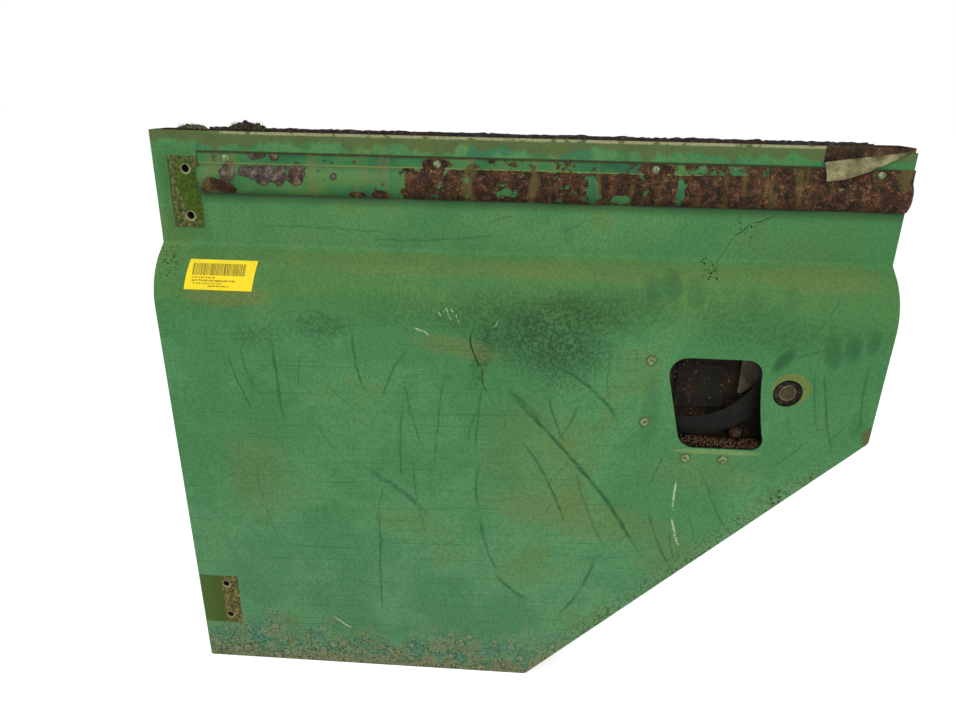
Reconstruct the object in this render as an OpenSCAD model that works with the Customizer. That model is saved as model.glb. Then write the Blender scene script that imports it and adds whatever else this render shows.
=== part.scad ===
// Lower half of the left rear side door of a boxy off-road station wagon.
// A thin folded skin wraps a welded steel frame; the window half above the waist is missing.
// X runs from the hinge edge to the latch edge, Y runs into the vehicle, Z is up.
// The origin lies on the outer face, midway between the two bolt holes of the upper hinge.

/* [Door] */
// Width from the hinge edge to the latch edge
door_w = 800; // [760:5:860]
// Height of the skin from the lower edge to the waist
door_h = 688.5; // [660:0.5:740]
// Depth from the flat outer band to the inner face of the frame
door_t = 38; // [36:1:46]
// Drop of the wheel arch's upper corner below the waist
arch_drop = 316.5; // [310:0.5:330]
// Width that the wheel arch cuts off the lower edge
arch_w = 369; // [340:1:400]
// Radius of the corner between the latch edge and the wheel arch
arch_top_r = 9; // [4:1:14]
// Radius of the corner between the wheel arch and the lower edge
arch_low_r = 6; // [4:1:10]
// Radius of the lower front corner
front_low_r = 3; // [2:0.5:8]

/* [Shoulder] */
// Height of the flat outer band below the waist
band_h = 121; // [116:1:130]
// Angle of the short slope below the band, from vertical
slope_a = 52; // [46:1:56]
// Length of the short slope
slope_l = 16; // [12:0.5:20]
// Radius of the rounded shoulder
shoulder_r = 68; // [62:1:76]
// Lean of the lower panel, from vertical
lean_a = 2; // [1:0.25:3]

/* [Sheet metal] */
// Thickness of the aluminium skin
skin_t = 1.5; // [1.2:0.1:2]
// Thickness of the frame's steel
steel_t = 1.6; // [1.2:0.1:2]
// Thickness of the inner panel and the window channels
panel_t = 1.2; // [0.8:0.1:1.6]
// Depth of the skin's folded edges
fold_d = 22; // [18:1:26]
// Gap between the skin and the frame inside it
seat_gap = 0.3; // [0.2:0.05:0.4]
// Width of the hinge pillar
pillar_w = 60; // [54:1:70]
// Width of the lock pillar
lock_pillar_w = 38; // [36:1:44]
// Width of the lower rail and the wheel arch rail
rail_w = 38; // [30:1:46]

/* [Hinges] */
// Distance of the hinge bolts from the hinge edge
hinge_in = 35; // [32:1:38]
// Drop of the upper hinge below the waist
hinge_drop = 65; // [62:1:70]
// Distance between the centres of the two hinges
hinge_pitch = 526.3; // [500:0.1:550]
// Distance between a hinge's two bolt holes
bolt_pitch = 50.8; // [44:0.1:56]
// Diameter of the bolt holes
bolt_d = 8.8; // [7:0.1:10]
// Width of a hinge leaf's print on the skin
print_w = 34; // [28:1:36]
// Height of a hinge leaf's print
print_h = 76; // [66:1:84]
// Shift of the print towards the hinge edge
print_shift = 2; // [0:0.5:4]
// Width and depth of the line scored round the print
score_w = 0.4; // [0.3:0.1:0.8]
// Width of the nut plates inside the pillar
nut_plate_w = 30; // [24:1:34]
// Height of the nut plates
nut_plate_h = 78; // [72:1:84]
// Thickness of the nut plates
nut_plate_t = 5; // [4:0.5:8]

/* [Waist] */
// Height of the two waist rails
waist_rail_h = 50; // [40:1:60]
// Depth of each waist rail
waist_rail_d = 10; // [8:0.5:11]
// Thickness of the window wiper seals
seal_t = 3; // [2:0.5:4]
// Height of the wiper seals
seal_h = 18; // [14:1:24]
// Height that the outer seal stands above the waist
seal_up = 4; // [2:0.5:6]
// Flat crumbled seal rest: start, from the hinge edge
crumb_start = 29; // [24:1:34]
// Flat crumbled seal rest: width
crumb_w = 33; // [26:1:40]
// Flat crumbled seal rest: height
crumb_h = 8; // [5:0.5:10]
// Tall crumbled seal rest: start, from the hinge edge
tuft_start = 87; // [80:1:94]
// Tall crumbled seal rest: width
tuft_w = 40; // [30:1:48]
// Tall crumbled seal rest: height
tuft_h = 14; // [10:0.5:16]
// Start of the capping, from the hinge edge
cap_start = 51; // [50:1:60]
// Reach of the capping past the latch edge
cap_over = 1.5; // [0:0.5:3]
// Drop of the capping's upper edge below the waist
cap_drop = 21.6; // [20:0.1:24]
// Height of the capping's flat flange
cap_flange_h = 11.4; // [10:0.1:13]
// Height of the capping's bead
cap_bead_h = 32.5; // [28:0.5:38]
// Reach of the bead out from the door
cap_bead_out = 10; // [7:0.5:13]
// Thickness of the capping
cap_t = 1.2; // [1:0.1:1.6]
// Number of capping rivets
cap_rivets = 4; // [3:1:5]
// First capping rivet, from the hinge edge
cap_rivet_start = 81; // [76:1:90]
// Last capping rivet, from the latch edge
cap_rivet_end = 32; // [28:1:38]
// Radius of a capping rivet's head
cap_rivet_r = 4; // [3:0.5:5]
// Height of a capping rivet's head
cap_rivet_h = 1.8; // [1:0.1:2.2]

/* [Torn corner] */
// Width of the torn strip at the latch corner
tear_w = 92; // [80:1:110]
// Height of the tear at its inner end
tear_h = 18; // [15:0.5:20]
// Height of the tear at the latch edge
tear_low_h = 5; // [4:0.5:8]
// Gap behind the strip that is folded down
tear_gap = 2; // [1.8:0.1:3]

/* [Handle opening] */
// Distance of the opening's upper rear corner from the latch edge
hole_in = 132; // [128:1:140]
// Drop of the opening below the waist
hole_drop = 221.5; // [215:0.5:230]
// Width of the opening at its top
hole_top_w = 103; // [95:1:110]
// Width of the opening at its bottom
hole_low_w = 93.5; // [86:0.5:100]
// Height of the opening
hole_h = 110.5; // [100:0.5:118]
// Shift of the opening's bottom towards the latch edge
hole_shift = 27.5; // [20:0.5:32]
// Large corner radius of the opening
hole_r = 20; // [14:1:22]
// Small corner radius of the opening
hole_low_r = 12; // [8:1:16]

/* [Handle recess] */
// Depth of the recess behind the flat outer band
pan_y = 2; // [0:0.5:6]
// Thickness of the recess's sheet
pan_t = 1.6; // [1.2:0.1:2]
// Room between the opening and the recess's side and floor
pan_side = 2.5; // [2:0.5:4]
// Height of the recess above the opening
pan_head = 11; // [8:1:16]
// Reach of the recess's back behind the latch side of the opening
pan_tail = 50; // [40:1:54]
// Width of the flanges that the rivets hold
pan_flange = 26; // [24:1:30]
// Distance of the side rivets from the opening's upper front corner
rivet_out = 15.5; // [14:0.5:18]
// Drop of the upper side rivet below the opening's top
rivet_drop = 4.5; // [0:0.5:10]
// Distance between the two side rivets
rivet_pitch = 75; // [60:1:80]
// Drop of the lower rivets below the opening
low_rivet_drop = 13.3; // [11:0.1:16]
// First lower rivet, from the opening's upper front corner
low_rivet_start = 35.5; // [30:0.5:40]
// Distance between the two lower rivets
low_rivet_pitch = 42.5; // [36:0.5:50]
// Radius of a handle rivet's head
rivet_r = 4.5; // [4:0.1:5]
// Radius of a handle rivet's shank
rivet_shank_r = 2.4; // [2:0.1:3]
// Radius of the hollow in a handle rivet
rivet_bore_r = 1.3; // [1:0.1:1.6]

/* [Key lock] */
// Distance of the lock from the latch edge
lock_in = 99; // [94:1:104]
// Drop of the lock below the waist
lock_drop = 259; // [254:0.5:262]
// Radius of the hole in the skin
lock_hole_r = 16; // [15:0.5:17]
// Outer radius of the lock housing
housing_r = 14; // [13:0.5:14.5]
// Radius of the lock barrel
barrel_r = 9.9; // [8.5:0.1:11]
// Running clearance round the barrel and the lever's pin
run_gap = 0.1; // [0.05:0.01:0.1]
// Length of the lock housing
housing_l = 15; // [12:0.5:16]
// Key slot's width
key_w = 2.2; // [1.6:0.1:3]

/* [Latch and release lever] */
// Height of the latch case
latch_h = 94; // [86:1:100]
// Radius of the claw
claw_r = 19; // [16:0.5:21]
// Width of the claw's mouth
mouth_h = 14; // [12:0.5:18]
// Thickness of the claw
claw_t = 3; // [2:0.5:4]
// Drop of the claw below the handle opening's top
claw_drop = 18; // [14:1:22]
// Depth of the claw's centre
claw_y = 6; // [4:0.5:8]
// Depth of the latch bracket's plate
plate_y = -8; // [-9:0.5:-6]
// Reach of the bracket into the view through the opening
bracket_in = 12; // [8:1:16]
// Drop of the bracket's lower corner below the opening's top
bracket_drop = 50.5; // [44:0.5:56]
// Height that the bracket stands above the recess
bracket_head = 15; // [10:1:20]
// Thickness of the release lever
lever_t = 2; // [1.5:0.1:3]
// Lever pin, from the opening's upper rear corner towards the latch edge
pivot_in = 57; // [50:1:62]
// Lever pin, above the opening's top
pivot_up = 6.5; // [4:0.5:12]
// Lever's elbow, from the opening's upper front corner
elbow_in = 60; // [54:1:66]
// Lever's elbow, above the opening's lower edge
elbow_up = 21; // [18:0.5:26]
// Lever's tip, from the opening's upper front corner
tip_in = 23; // [20:1:30]
// Height of the lever's arms
lever_h = 20; // [16:0.5:22]
// Radius of the lever's pin
pin_r = 4; // [3:0.5:5]
// Gap between the lever and the plate behind it
lever_gap = 5; // [5:0.5:7]
// Return spring, from the opening's upper rear corner
spring_in = 7.5; // [4:0.5:12]
// Return spring, above the opening's lower edge
spring_up = 10.5; // [9.5:0.5:13]
// Radius of the return spring's coil
spring_r = 7; // [6:0.5:8]
// Length of the spring's post
post_l = 14; // [12:1:16]
// Radius of the spring's wire
wire_r = 1.1; // [0.8:0.1:1.4]

/* [Inner panel] */
// Inset of the inner panel from the door's edges
panel_in = 14; // [10:1:18]
// Drop of the access openings below the waist
access_drop = 100; // [90:1:110]
// Height of the two upper access openings
access_h = 288; // [270:1:300]
// Width of the front access openings
access_w = 290; // [260:1:300]
// Width of the rear access opening
rear_access_w = 70; // [60:1:80]
// Distance of the access openings from the frame's pillars
access_in = 29; // [26:1:34]
// Width of the strips between the access openings
panel_strip = 48; // [40:1:54]
// Height of the strip below the lower access opening
foot_strip = 95; // [80:1:110]
// Drop of the upper trim clips below the waist
clip_drop = 75; // [70:1:80]
// Height of the lowest trim clips above the door's foot
clip_up = 67; // [60:1:72]
// Drop of the rear strip's lower clip below its upper one
clip_pitch = 235; // [220:1:250]
// Corner radius of the access openings
access_r = 28; // [20:1:34]
// Radius of the trim clip holes
clip_r = 4; // [3:0.5:5]
// Width of the window channels
channel_w = 14; // [12:1:14]

/* [Hidden] */
$fn = 48;
far = 2000;
eps = 0.01;

// Edges of the door
front = -hinge_in;
rear = front + door_w;
top = hinge_drop;
bottom = top - door_h;
arch_z = top - arch_drop;
arch_m = (arch_z - bottom) / arch_w;

// Insets from the skin's outer face to the frame, layer by layer
frame_i = skin_t + seat_gap;
wall_i = frame_i + steel_t;

// Key points of the side profile, in Y and Z
crease_z = top - band_h;
slope_end = [-slope_l * sin(slope_a), crease_z - slope_l * cos(slope_a)];
arc_c = slope_end + shoulder_r * [cos(slope_a), -sin(slope_a)];
arc_end_z = arc_c[1] - shoulder_r * sin(lean_a);

// The straight faces lie this much inside the shoulder arc, which then crosses them cleanly
arc_proud = 0.02;

// Point beside the shoulder arc, inset by i, where the outward normal has angle a above level
function arc_point(i, a) = arc_c + (shoulder_r - i - arc_proud) * [-cos(a), sin(a)];

// Outline of the side profile, inset by i, back to y and down to z
function profile_points(i, back, low) =
    let (e = arc_point(i, -lean_a))
    [[back, far], [i, far], [i, crease_z - i * tan(slope_a / 2)], arc_point(i, slope_a), e,
     [e[0] + (e[1] - low) * tan(lean_a), low], [back, low]];

// Y of the leaning panel's face, inset by i, at height z
function panel_y(z, i = 0) =
    let (e = arc_point(i, -lean_a)) e[0] + (e[1] - z) * tan(lean_a);

// Height and level position of the wheel arch's edge, inset by i
function arch_edge_z(x, i) = arch_z + (x - rear) * arch_m + i * sqrt(1 + arch_m * arch_m);
function arch_edge_x(z, i) = rear + (z - arch_z - i * sqrt(1 + arch_m * arch_m)) / arch_m;

// Outline of the door seen from outside, inset by f, b, a and r at its four closed edges
function outline_points(f, b, a, r, high) =
    [[front + f, high], [rear - r, high], [rear - r, arch_edge_z(rear - r, a)],
     [arch_edge_x(bottom + b, a), bottom + b], [front + f, bottom + b]];

// Handle opening, lock, latch and lever
hole_top = top - hole_drop;
hole_low = hole_top - hole_h;
hole_rear = rear - hole_in;
hole_front = hole_rear - hole_top_w;
lock_x = rear - lock_in;
lock_z = top - lock_drop;
lock_y = panel_y(lock_z);
pan_front = hole_front - pan_side;
pan_low = hole_low - pan_side;
pan_high = hole_top + pan_head;
pan_rear = hole_rear + pan_tail;
low_rivet_x = hole_front + low_rivet_start;
handle_rivet_at = [[hole_front - rivet_out, hole_top - rivet_drop],
    [hole_front - rivet_out, hole_top - rivet_drop - rivet_pitch],
    [low_rivet_x, hole_low - low_rivet_drop],
    [low_rivet_x + low_rivet_pitch, hole_low - low_rivet_drop]];
web_x = rear - frame_i - steel_t;
case_front = rear - frame_i - lock_pillar_w;
claw_x = web_x - 4 - claw_t;
claw_z = hole_top - claw_drop;
lever_y = plate_y - lever_gap - lever_t;
pivot = [hole_rear + pivot_in, hole_top + pivot_up];
elbow = [hole_front + elbow_in, hole_low + elbow_up];
lever_tip = hole_front + tip_in;
spring_at = [hole_rear - spring_in, hole_low + spring_up];

// Waist
cap_x = front + cap_start;
cap_top = top - cap_drop;
bead_top = cap_top - cap_flange_h;
cap_rivet_z = cap_top - 0.55 * cap_flange_h;
cap_rivet_pitch = (door_w - cap_rivet_start - cap_rivet_end) / (cap_rivets - 1);
cap_rivet_x = [for (k = [0:cap_rivets - 1]) front + cap_rivet_start + k * cap_rivet_pitch];
slot_front_y = frame_i + waist_rail_d;
slot_back_y = door_t - waist_rail_d;
channel_y = (slot_front_y + slot_back_y - channel_w) / 2;
waist_front = front + frame_i + pillar_w;
waist_rear = rear - frame_i - lock_pillar_w;

// Flat shape seen from outside, raised from y0 to y1
module facing(y0, y1) {
    translate([0, y1, 0])
        rotate([90, 0, 0])
            linear_extrude(height = y1 - y0) children();
}

// Flat shape seen from the hinge edge, raised from x0 to x1
module section(x0, x1) {
    translate([x0, 0, 0])
        rotate([90, 0, 90])
            linear_extrude(height = x1 - x0) children();
}

module block(p, q) {
    translate(p) cube(q - p);
}

module drill(x, z, r, y0, y1) {
    translate([x, y1, z])
        rotate([90, 0, 0]) cylinder(r = r, h = y1 - y0);
}

// Everything behind the skin's outer face inset by i, from x0 to x1
module behind_skin(i, x0, x1, back = door_t) {
    low = bottom - 10;
    section(x0, x1) {
        polygon(profile_points(i, back, low));
        intersection() {
            translate(arc_c) circle(r = shoulder_r - i, $fn = 180);
            translate([arc_c[0] - far, arc_c[1] - shoulder_r])
                square([back - arc_c[0] + far, 2 * shoulder_r]);
        }
    }
}

// Layer of sheet that follows the skin between two insets
module skin_layer(i0, i1, x0, x1) {
    difference() {
        behind_skin(i0, x0, x1);
        behind_skin(i1, x0 - 1, x1 + 1, door_t + 1);
    }
}

// Rounds the corner at point b of a convex outline with neighbours a and c
module corner_cut(a, b, c, r) {
    u = (a - b) / norm(a - b);
    v = (c - b) / norm(c - b);
    half = acos(u * v) / 2;
    centre = b + (u + v) / norm(u + v) * r / sin(half);
    difference() {
        polygon([b, b + u * r / tan(half), centre, b + v * r / tan(half)]);
        translate(centre) circle(r = r);
    }
}

module door_outline(i, high) {
    p = outline_points(i, i, i, i, high);
    difference() {
        polygon(p);
        corner_cut(p[1], p[2], p[3], arch_top_r - i);
        corner_cut(p[2], p[3], p[4], arch_low_r - i);
        if (front_low_r > i) corner_cut(p[3], p[4], p[0], front_low_r - i);
    }
}

// Rounded four-sided shape with one radius for each corner
module rounded_quad(p, r) {
    difference() {
        polygon(p);
        for (k = [0:3]) corner_cut(p[(k + 3) % 4], p[k], p[(k + 1) % 4], r[k]);
    }
}

module handle_hole() {
    rounded_quad([[hole_front, hole_top], [hole_rear, hole_top],
        [hole_front + hole_shift + hole_low_w, hole_low], [hole_front + hole_shift, hole_low]],
        [hole_r, hole_r - 2, hole_low_r, hole_r]);
}

module hinge_holes(y0, y1) {
    for (z = [0, -hinge_pitch], s = [-0.5, 0.5])
        drill(0, z + s * bolt_pitch, bolt_d / 2, y0, y1);
}

// Line scored into the skin round a hinge leaf's print, centred at height z
module print_line(z) {
    intersection() {
        difference() {
            behind_skin(-1, -hinge_in, hinge_in);
            behind_skin(score_w, -hinge_in - 1, hinge_in + 1, door_t + 1);
        }
        facing(-60, 10) translate([-print_shift, z]) difference() {
            square([print_w + 2 * score_w, print_h + 2 * score_w], center = true);
            square([print_w, print_h], center = true);
        }
    }
}

// Folded steel member between an outer and an inner outline, from corner k to corner k + 1
module frame_member(k, closed) {
    o = outline_points(frame_i, frame_i, frame_i, frame_i, top);
    n = outline_points(frame_i + pillar_w, frame_i + rail_w, frame_i + rail_w,
        frame_i + lock_pillar_w, top);
    wi = closed ? -steel_t : 1;
    ho = outline_points(wall_i, wall_i, wall_i, wall_i, top);
    hn = outline_points(frame_i + pillar_w + wi, frame_i + rail_w + wi, frame_i + rail_w + wi,
        frame_i + lock_pillar_w + wi, top);
    j = (k + 1) % 5;
    difference() {
        intersection() {
            behind_skin(frame_i, front, rear);
            facing(-100, door_t + 1) polygon([o[k], o[j], n[j], n[k]]);
        }
        intersection() {
            behind_skin(wall_i, front, rear, door_t - steel_t);
            facing(-100, door_t) {
                polygon([ho[k], ho[j], hn[j], hn[k]]);
                for (e = [k, j]) {
                    d = (e == k ? ho[k] - ho[j] : ho[j] - ho[k]);
                    g = 5 * d / norm(d);
                    polygon([ho[e], ho[e] + g, hn[e] + g, hn[e]]);
                }
            }
        }
    }
}

// Torn strip of skin between the tear's ridge and the waist
ridge_a = atan((tear_h - tear_low_h) / tear_w);
ridge_l = tear_w / cos(ridge_a) - 1;
ridge_start = 1;
fold_step = 30;
ridge_at = [rear - tear_w, top - tear_h];

module torn_strip() {
    polygon([ridge_at, [rear + 5, ridge_at[1] + (tear_w + 5) * tan(ridge_a)],
        [rear + 5, top + 5], [rear - tear_w, top + 5]]);
}

// Section across the ridge: up from the skin, round the fold and down in front, in Y and height
function fold_section() =
    let (outer = skin_t + tear_gap / 2, inner = tear_gap / 2, mid = -tear_gap / 2)
    concat([[skin_t, -1]],
        [for (a = [0:fold_step:180]) [mid + outer * cos(a), outer * sin(a)]],
        [[mid - outer, -tear_h], [mid - inner, -tear_h]],
        [for (a = [180:-fold_step:0]) [mid + inner * cos(a), inner * sin(a)]],
        [[0, -1]]);

module folded_strip() {
    translate([ridge_at[0], 0, ridge_at[1]])
        rotate([0, -ridge_a, 0])
            intersection() {
                section(ridge_start, ridge_l) polygon(fold_section());
                facing(-20, 20)
                    polygon([[ridge_start, 20], [ridge_start, 0], [ridge_start + 2, -tear_h + 0.5],
                        [ridge_l - 15, -tear_low_h - 4], [ridge_l, -1], [ridge_l, 20]]);
            }
}

module outer_skin() {
    color("#4f8a58") {
        difference() {
            intersection() {
                behind_skin(0, front, rear);
                facing(-100, door_t) door_outline(0, top);
            }
            intersection() {
                behind_skin(skin_t, front, rear, door_t + 1);
                facing(-100, door_t + 1) door_outline(skin_t, top + 10);
            }
            behind_skin(fold_d, front - 1, rear + 1, door_t + 1);
            facing(-10, door_t) torn_strip();
            facing(-100, 0) handle_hole();
            drill(lock_x, lock_z, lock_hole_r, -60, -15);
            hinge_holes(-60, 10);
            print_line(0);
            print_line(-hinge_pitch);
            handle_rivet_holes();
            capping_rivet_holes();
        }
        folded_strip();
    }
}

// Places a child on the leaning panel with its own Z axis pointing straight out
module on_panel(x, z) {
    translate([x, panel_y(z), z]) rotate([90 + lean_a, 0, 0]) children();
}

module handle_rivet_holes() {
    for (p = handle_rivet_at)
        on_panel(p[0], p[1]) translate([0, 0, -12]) cylinder(r = rivet_shank_r, h = 20);
}

module capping_rivet_holes() {
    for (x = cap_rivet_x) drill(x, cap_rivet_z, cap_rivet_r / 2, -20, 6);
}

module waist_capping() {
    bead_r = (pow(cap_bead_h / 2, 2) + pow(cap_bead_out, 2)) / (2 * cap_bead_out);
    bead_c = [bead_r - cap_bead_out, bead_top - cap_bead_h / 2];
    color("#4c8350")
        difference() {
            section(cap_x, rear + cap_over) {
                translate([-seat_gap - cap_t, bead_top - 0.5]) square([cap_t, cap_flange_h + 0.5]);
                intersection() {
                    difference() {
                        translate(bead_c) circle(r = bead_r, $fn = 96);
                        translate(bead_c) circle(r = bead_r - cap_t, $fn = 96);
                    }
                    translate([-30, bead_top - cap_bead_h - 5])
                        square([30 - seat_gap, cap_bead_h + 10]);
                }
            }
            capping_rivet_holes();
        }
}

module capping_rivets() {
    cap_face = -seat_gap - cap_t;
    dome_r = (cap_rivet_r * cap_rivet_r + cap_rivet_h * cap_rivet_h) / (2 * cap_rivet_h);
    color("#8d9a86")
        for (x = cap_rivet_x)
            translate([x, cap_face, cap_rivet_z])
                rotate([90, 0, 0])
                    rotate_extrude() {
                        intersection() {
                            translate([0, cap_rivet_h - dome_r]) circle(r = dome_r);
                            square([cap_rivet_r, cap_rivet_h]);
                        }
                        translate([0, -frame_i - steel_t + cap_face])
                            square([cap_rivet_r / 2, frame_i + steel_t - cap_face + eps]);
                    }
}

module handle_rivets() {
    color("#a9a898")
        for (p = handle_rivet_at)
            on_panel(p[0], p[1])
                rotate_extrude() {
                    translate([rivet_bore_r, 0]) square([rivet_r - rivet_bore_r, 1.2]);
                    translate([rivet_bore_r, -frame_i - pan_t - 1])
                        square([rivet_shank_r - rivet_bore_r, frame_i + pan_t + 1 + eps]);
                }
}

module hinge_pillar() {
    color("#4a3526")
        difference() {
            frame_member(4, true);
            hinge_holes(-60, 12);
        }
}

module lock_pillar() {
    color("#3c2a20")
        difference() {
            frame_member(1, false);
            block([claw_x, claw_y, claw_z - mouth_h / 2], [rear + 1, door_t + 1, claw_z + mouth_h / 2]);
            capping_rivet_holes();
        }
}

module wheel_arch_rail() {
    color("#4a3526") frame_member(2, false);
}

module bottom_rail() {
    color("#4a3526") frame_member(3, false);
}

// Channel section of a waist rail, its web at y0 and its open side towards y0 + d
module waist_channel(web_y, lip_y) {
    low = min(web_y, lip_y);
    difference() {
        block([waist_front, low, top - waist_rail_h], [waist_rear, low + waist_rail_d, top]);
        translate([0, sign(lip_y - web_y) * steel_t, 0])
            block([waist_front - 1, low, top - waist_rail_h + steel_t],
                [waist_rear + 1, low + waist_rail_d, top - steel_t]);
    }
}

module waist_rail_outer() {
    color("#3f2a1e")
        difference() {
            waist_channel(frame_i, slot_front_y);
            capping_rivet_holes();
        }
}

module waist_rail_inner() {
    color("#3f2a1e") waist_channel(door_t, slot_back_y);
}

module nut_plate(z) {
    difference() {
        intersection() {
            skin_layer(wall_i, wall_i + nut_plate_t, -nut_plate_w / 2, nut_plate_w / 2);
            block([-nut_plate_w, -60, z - nut_plate_h / 2], [nut_plate_w, 30, z + nut_plate_h / 2]);
        }
        hinge_holes(-60, 40);
    }
}

module upper_hinge_plate() {
    color("#5b4a3a") nut_plate(0);
}

module lower_hinge_plate() {
    color("#5b4a3a") nut_plate(-hinge_pitch);
}

module outer_wiper_seal() {
    color("#1d1c1a")
        block([waist_front, slot_front_y, top + seal_up - seal_h],
            [waist_rear, slot_front_y + seal_t, top + seal_up]);
}

module inner_wiper_seal() {
    color("#1d1c1a")
        block([waist_front, slot_back_y - seal_t, top + seal_up - seal_h],
            [waist_rear, slot_back_y, top + seal_up]);
}

// Crumbled ends of an old seal, left on the front end of the waist
module seal_remnants() {
    color("#3a352b") {
        block([front + crumb_start, frame_i, top],
            [front + crumb_start + crumb_w, slot_front_y, top + crumb_h]);
        block([front + tuft_start, frame_i, top],
            [front + tuft_start + tuft_w, slot_front_y, top + tuft_h]);
    }
}

module handle_pan() {
    color("#2b211b")
        difference() {
            union() {
                difference() {
                    intersection() {
                        behind_skin(frame_i, pan_front, pan_rear, pan_y);
                        block([pan_front, -60, pan_low], [pan_rear, pan_y, pan_high]);
                    }
                    block([pan_front + pan_t, -60, pan_low + pan_t],
                        [pan_rear + 1, pan_y - pan_t, pan_high + 1]);
                }
                intersection() {
                    skin_layer(frame_i, frame_i + pan_t, pan_front - pan_flange, pan_front + pan_t);
                    block([front, -60, pan_low + 20], [rear, 0, pan_high]);
                }
                intersection() {
                    skin_layer(frame_i, frame_i + pan_t, hole_front + 20, hole_front + 110);
                    block([front, -60, pan_low - pan_flange + 4], [rear, 0, pan_low + pan_t]);
                }
            }
            handle_rivet_holes();
        }
}

module lock_housing() {
    color("#22201d")
        difference() {
            union() {
                drill(lock_x, lock_z, housing_r, lock_y, lock_y + housing_l);
                intersection() {
                    drill(lock_x, lock_z, lock_hole_r + 5, -60, lock_y + frame_i + 4);
                    behind_skin(frame_i, lock_x - 40, lock_x + 40);
                }
            }
            drill(lock_x, lock_z, barrel_r + run_gap, lock_y - 5, lock_y + housing_l + 1);
        }
}

module lock_barrel() {
    color("#8a8274")
        difference() {
            union() {
                drill(lock_x, lock_z, barrel_r, lock_y + 1.3, lock_y + housing_l);
                drill(lock_x, lock_z, barrel_r - 4, lock_y + housing_l - eps, lock_y + housing_l + 1.5);
            }
            drill(lock_x, lock_z, barrel_r - 2.6, lock_y, lock_y + 2.3);
            block([lock_x - key_w / 2, lock_y, lock_z - 2 * key_w],
                [lock_x + key_w / 2, lock_y + housing_l - 3, lock_z + 2 * key_w]);
        }
}

module latch_bracket() {
    plate_front = hole_rear - bracket_in;
    plate_low = hole_top - bracket_drop;
    plate_mid = hole_top - claw_drop;
    plate_high = pan_high + bracket_head;
    color("#6e6150") {
        difference() {
            facing(plate_y, plate_y + steel_t)
                polygon([[plate_front, plate_low], [plate_front + 5, plate_low],
                    [plate_front + 44, plate_mid], [case_front, plate_mid],
                    [case_front, plate_high], [plate_front, plate_high]]);
            drill(pivot[0], pivot[1], pin_r, plate_y - 1, plate_y + steel_t + 1);
        }
        block([case_front - steel_t, plate_y + steel_t - eps, plate_mid],
            [case_front, channel_y - 2, plate_high]);
    }
}

module latch_case() {
    z0 = claw_z - latch_h / 2;
    z1 = claw_z + latch_h / 2;
    color("#574a3c")
        difference() {
            block([case_front, -12, z0], [web_x, door_t - steel_t - 0.4, z1]);
            block([claw_x - 0.4, -13, z0 + 12], [web_x + 1, door_t, z1 - 12]);
        }
}

module latch_claw() {
    color("#6b655c")
        difference() {
            translate([claw_x, claw_y, claw_z]) rotate([0, 90, 0])
                union() {
                    cylinder(r = claw_r, h = claw_t);
                    translate([0, 0, -0.4]) cylinder(r = 5, h = 0.4 + eps);
                }
            block([claw_x - 1, claw_y + 5, claw_z - mouth_h / 2],
                [claw_x + claw_t + 1, claw_y + claw_r + 5, claw_z + mouth_h / 2]);
        }
}

module release_lever() {
    rise = pivot - elbow;
    color("#1b1a19")
        facing(lever_y, lever_y + lever_t)
            difference() {
                union() {
                    translate([lever_tip, elbow[1] - lever_h / 2])
                        square([elbow[0] - lever_tip, lever_h]);
                    translate(elbow) circle(r = lever_h / 2);
                    translate(elbow) rotate(atan2(rise[1], rise[0]))
                        translate([0, -lever_h / 2]) square([norm(rise), lever_h]);
                    translate(pivot) circle(r = lever_h / 2 + 2);
                }
                translate(pivot) circle(r = pin_r + run_gap);
            }
}

module lever_pivot() {
    color("#77706a") {
        drill(pivot[0], pivot[1], pin_r, lever_y - 0.3 - eps, plate_y + steel_t);
        drill(pivot[0], pivot[1], pin_r + 3, lever_y - 1.8, lever_y - 0.3);
        drill(pivot[0], pivot[1], pin_r + 3, lever_y + lever_t + 0.3, plate_y);
    }
}

// Short torsion spring on its post, carried by the back of the recess
module lever_spring() {
    turns = 4;
    color("#2e2a26")
        translate([spring_at[0], pan_y - pan_t, spring_at[1]])
            rotate([90, 0, 0]) {
                cylinder(r = spring_r - 2 * wire_r, h = post_l);
                for (k = [0:turns - 1])
                    translate([0, 0, 2 + wire_r + k * 1.9 * wire_r])
                        rotate_extrude()
                            translate([spring_r - 1.1 * wire_r, 0]) circle(r = wire_r, $fn = 24);
            }
}

// U section that guides the glass, open towards the far side
module glass_channel(x0, z0, open_to) {
    slide = open_to * panel_t;
    color("#6a6f6a")
        difference() {
            block([x0, channel_y, z0], [x0 + channel_w, channel_y + channel_w, top - seal_h]);
            block([x0 + slide, channel_y + panel_t, z0 - 1],
                [x0 + channel_w + slide, channel_y + channel_w - panel_t, top]);
        }
}

module front_glass_channel() {
    glass_channel(waist_front, bottom + rail_w + 30, 1);
}

module rear_glass_channel() {
    glass_channel(waist_rear - channel_w - seat_gap, arch_z + 18, -1);
}

// Upright rectangle with rounded corners, given by its lowest and highest corner
module access_hole(p, q) {
    rounded_quad([[p[0], q[1]], q, [q[0], p[1]], p], [access_r, access_r, access_r, access_r]);
}

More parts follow.
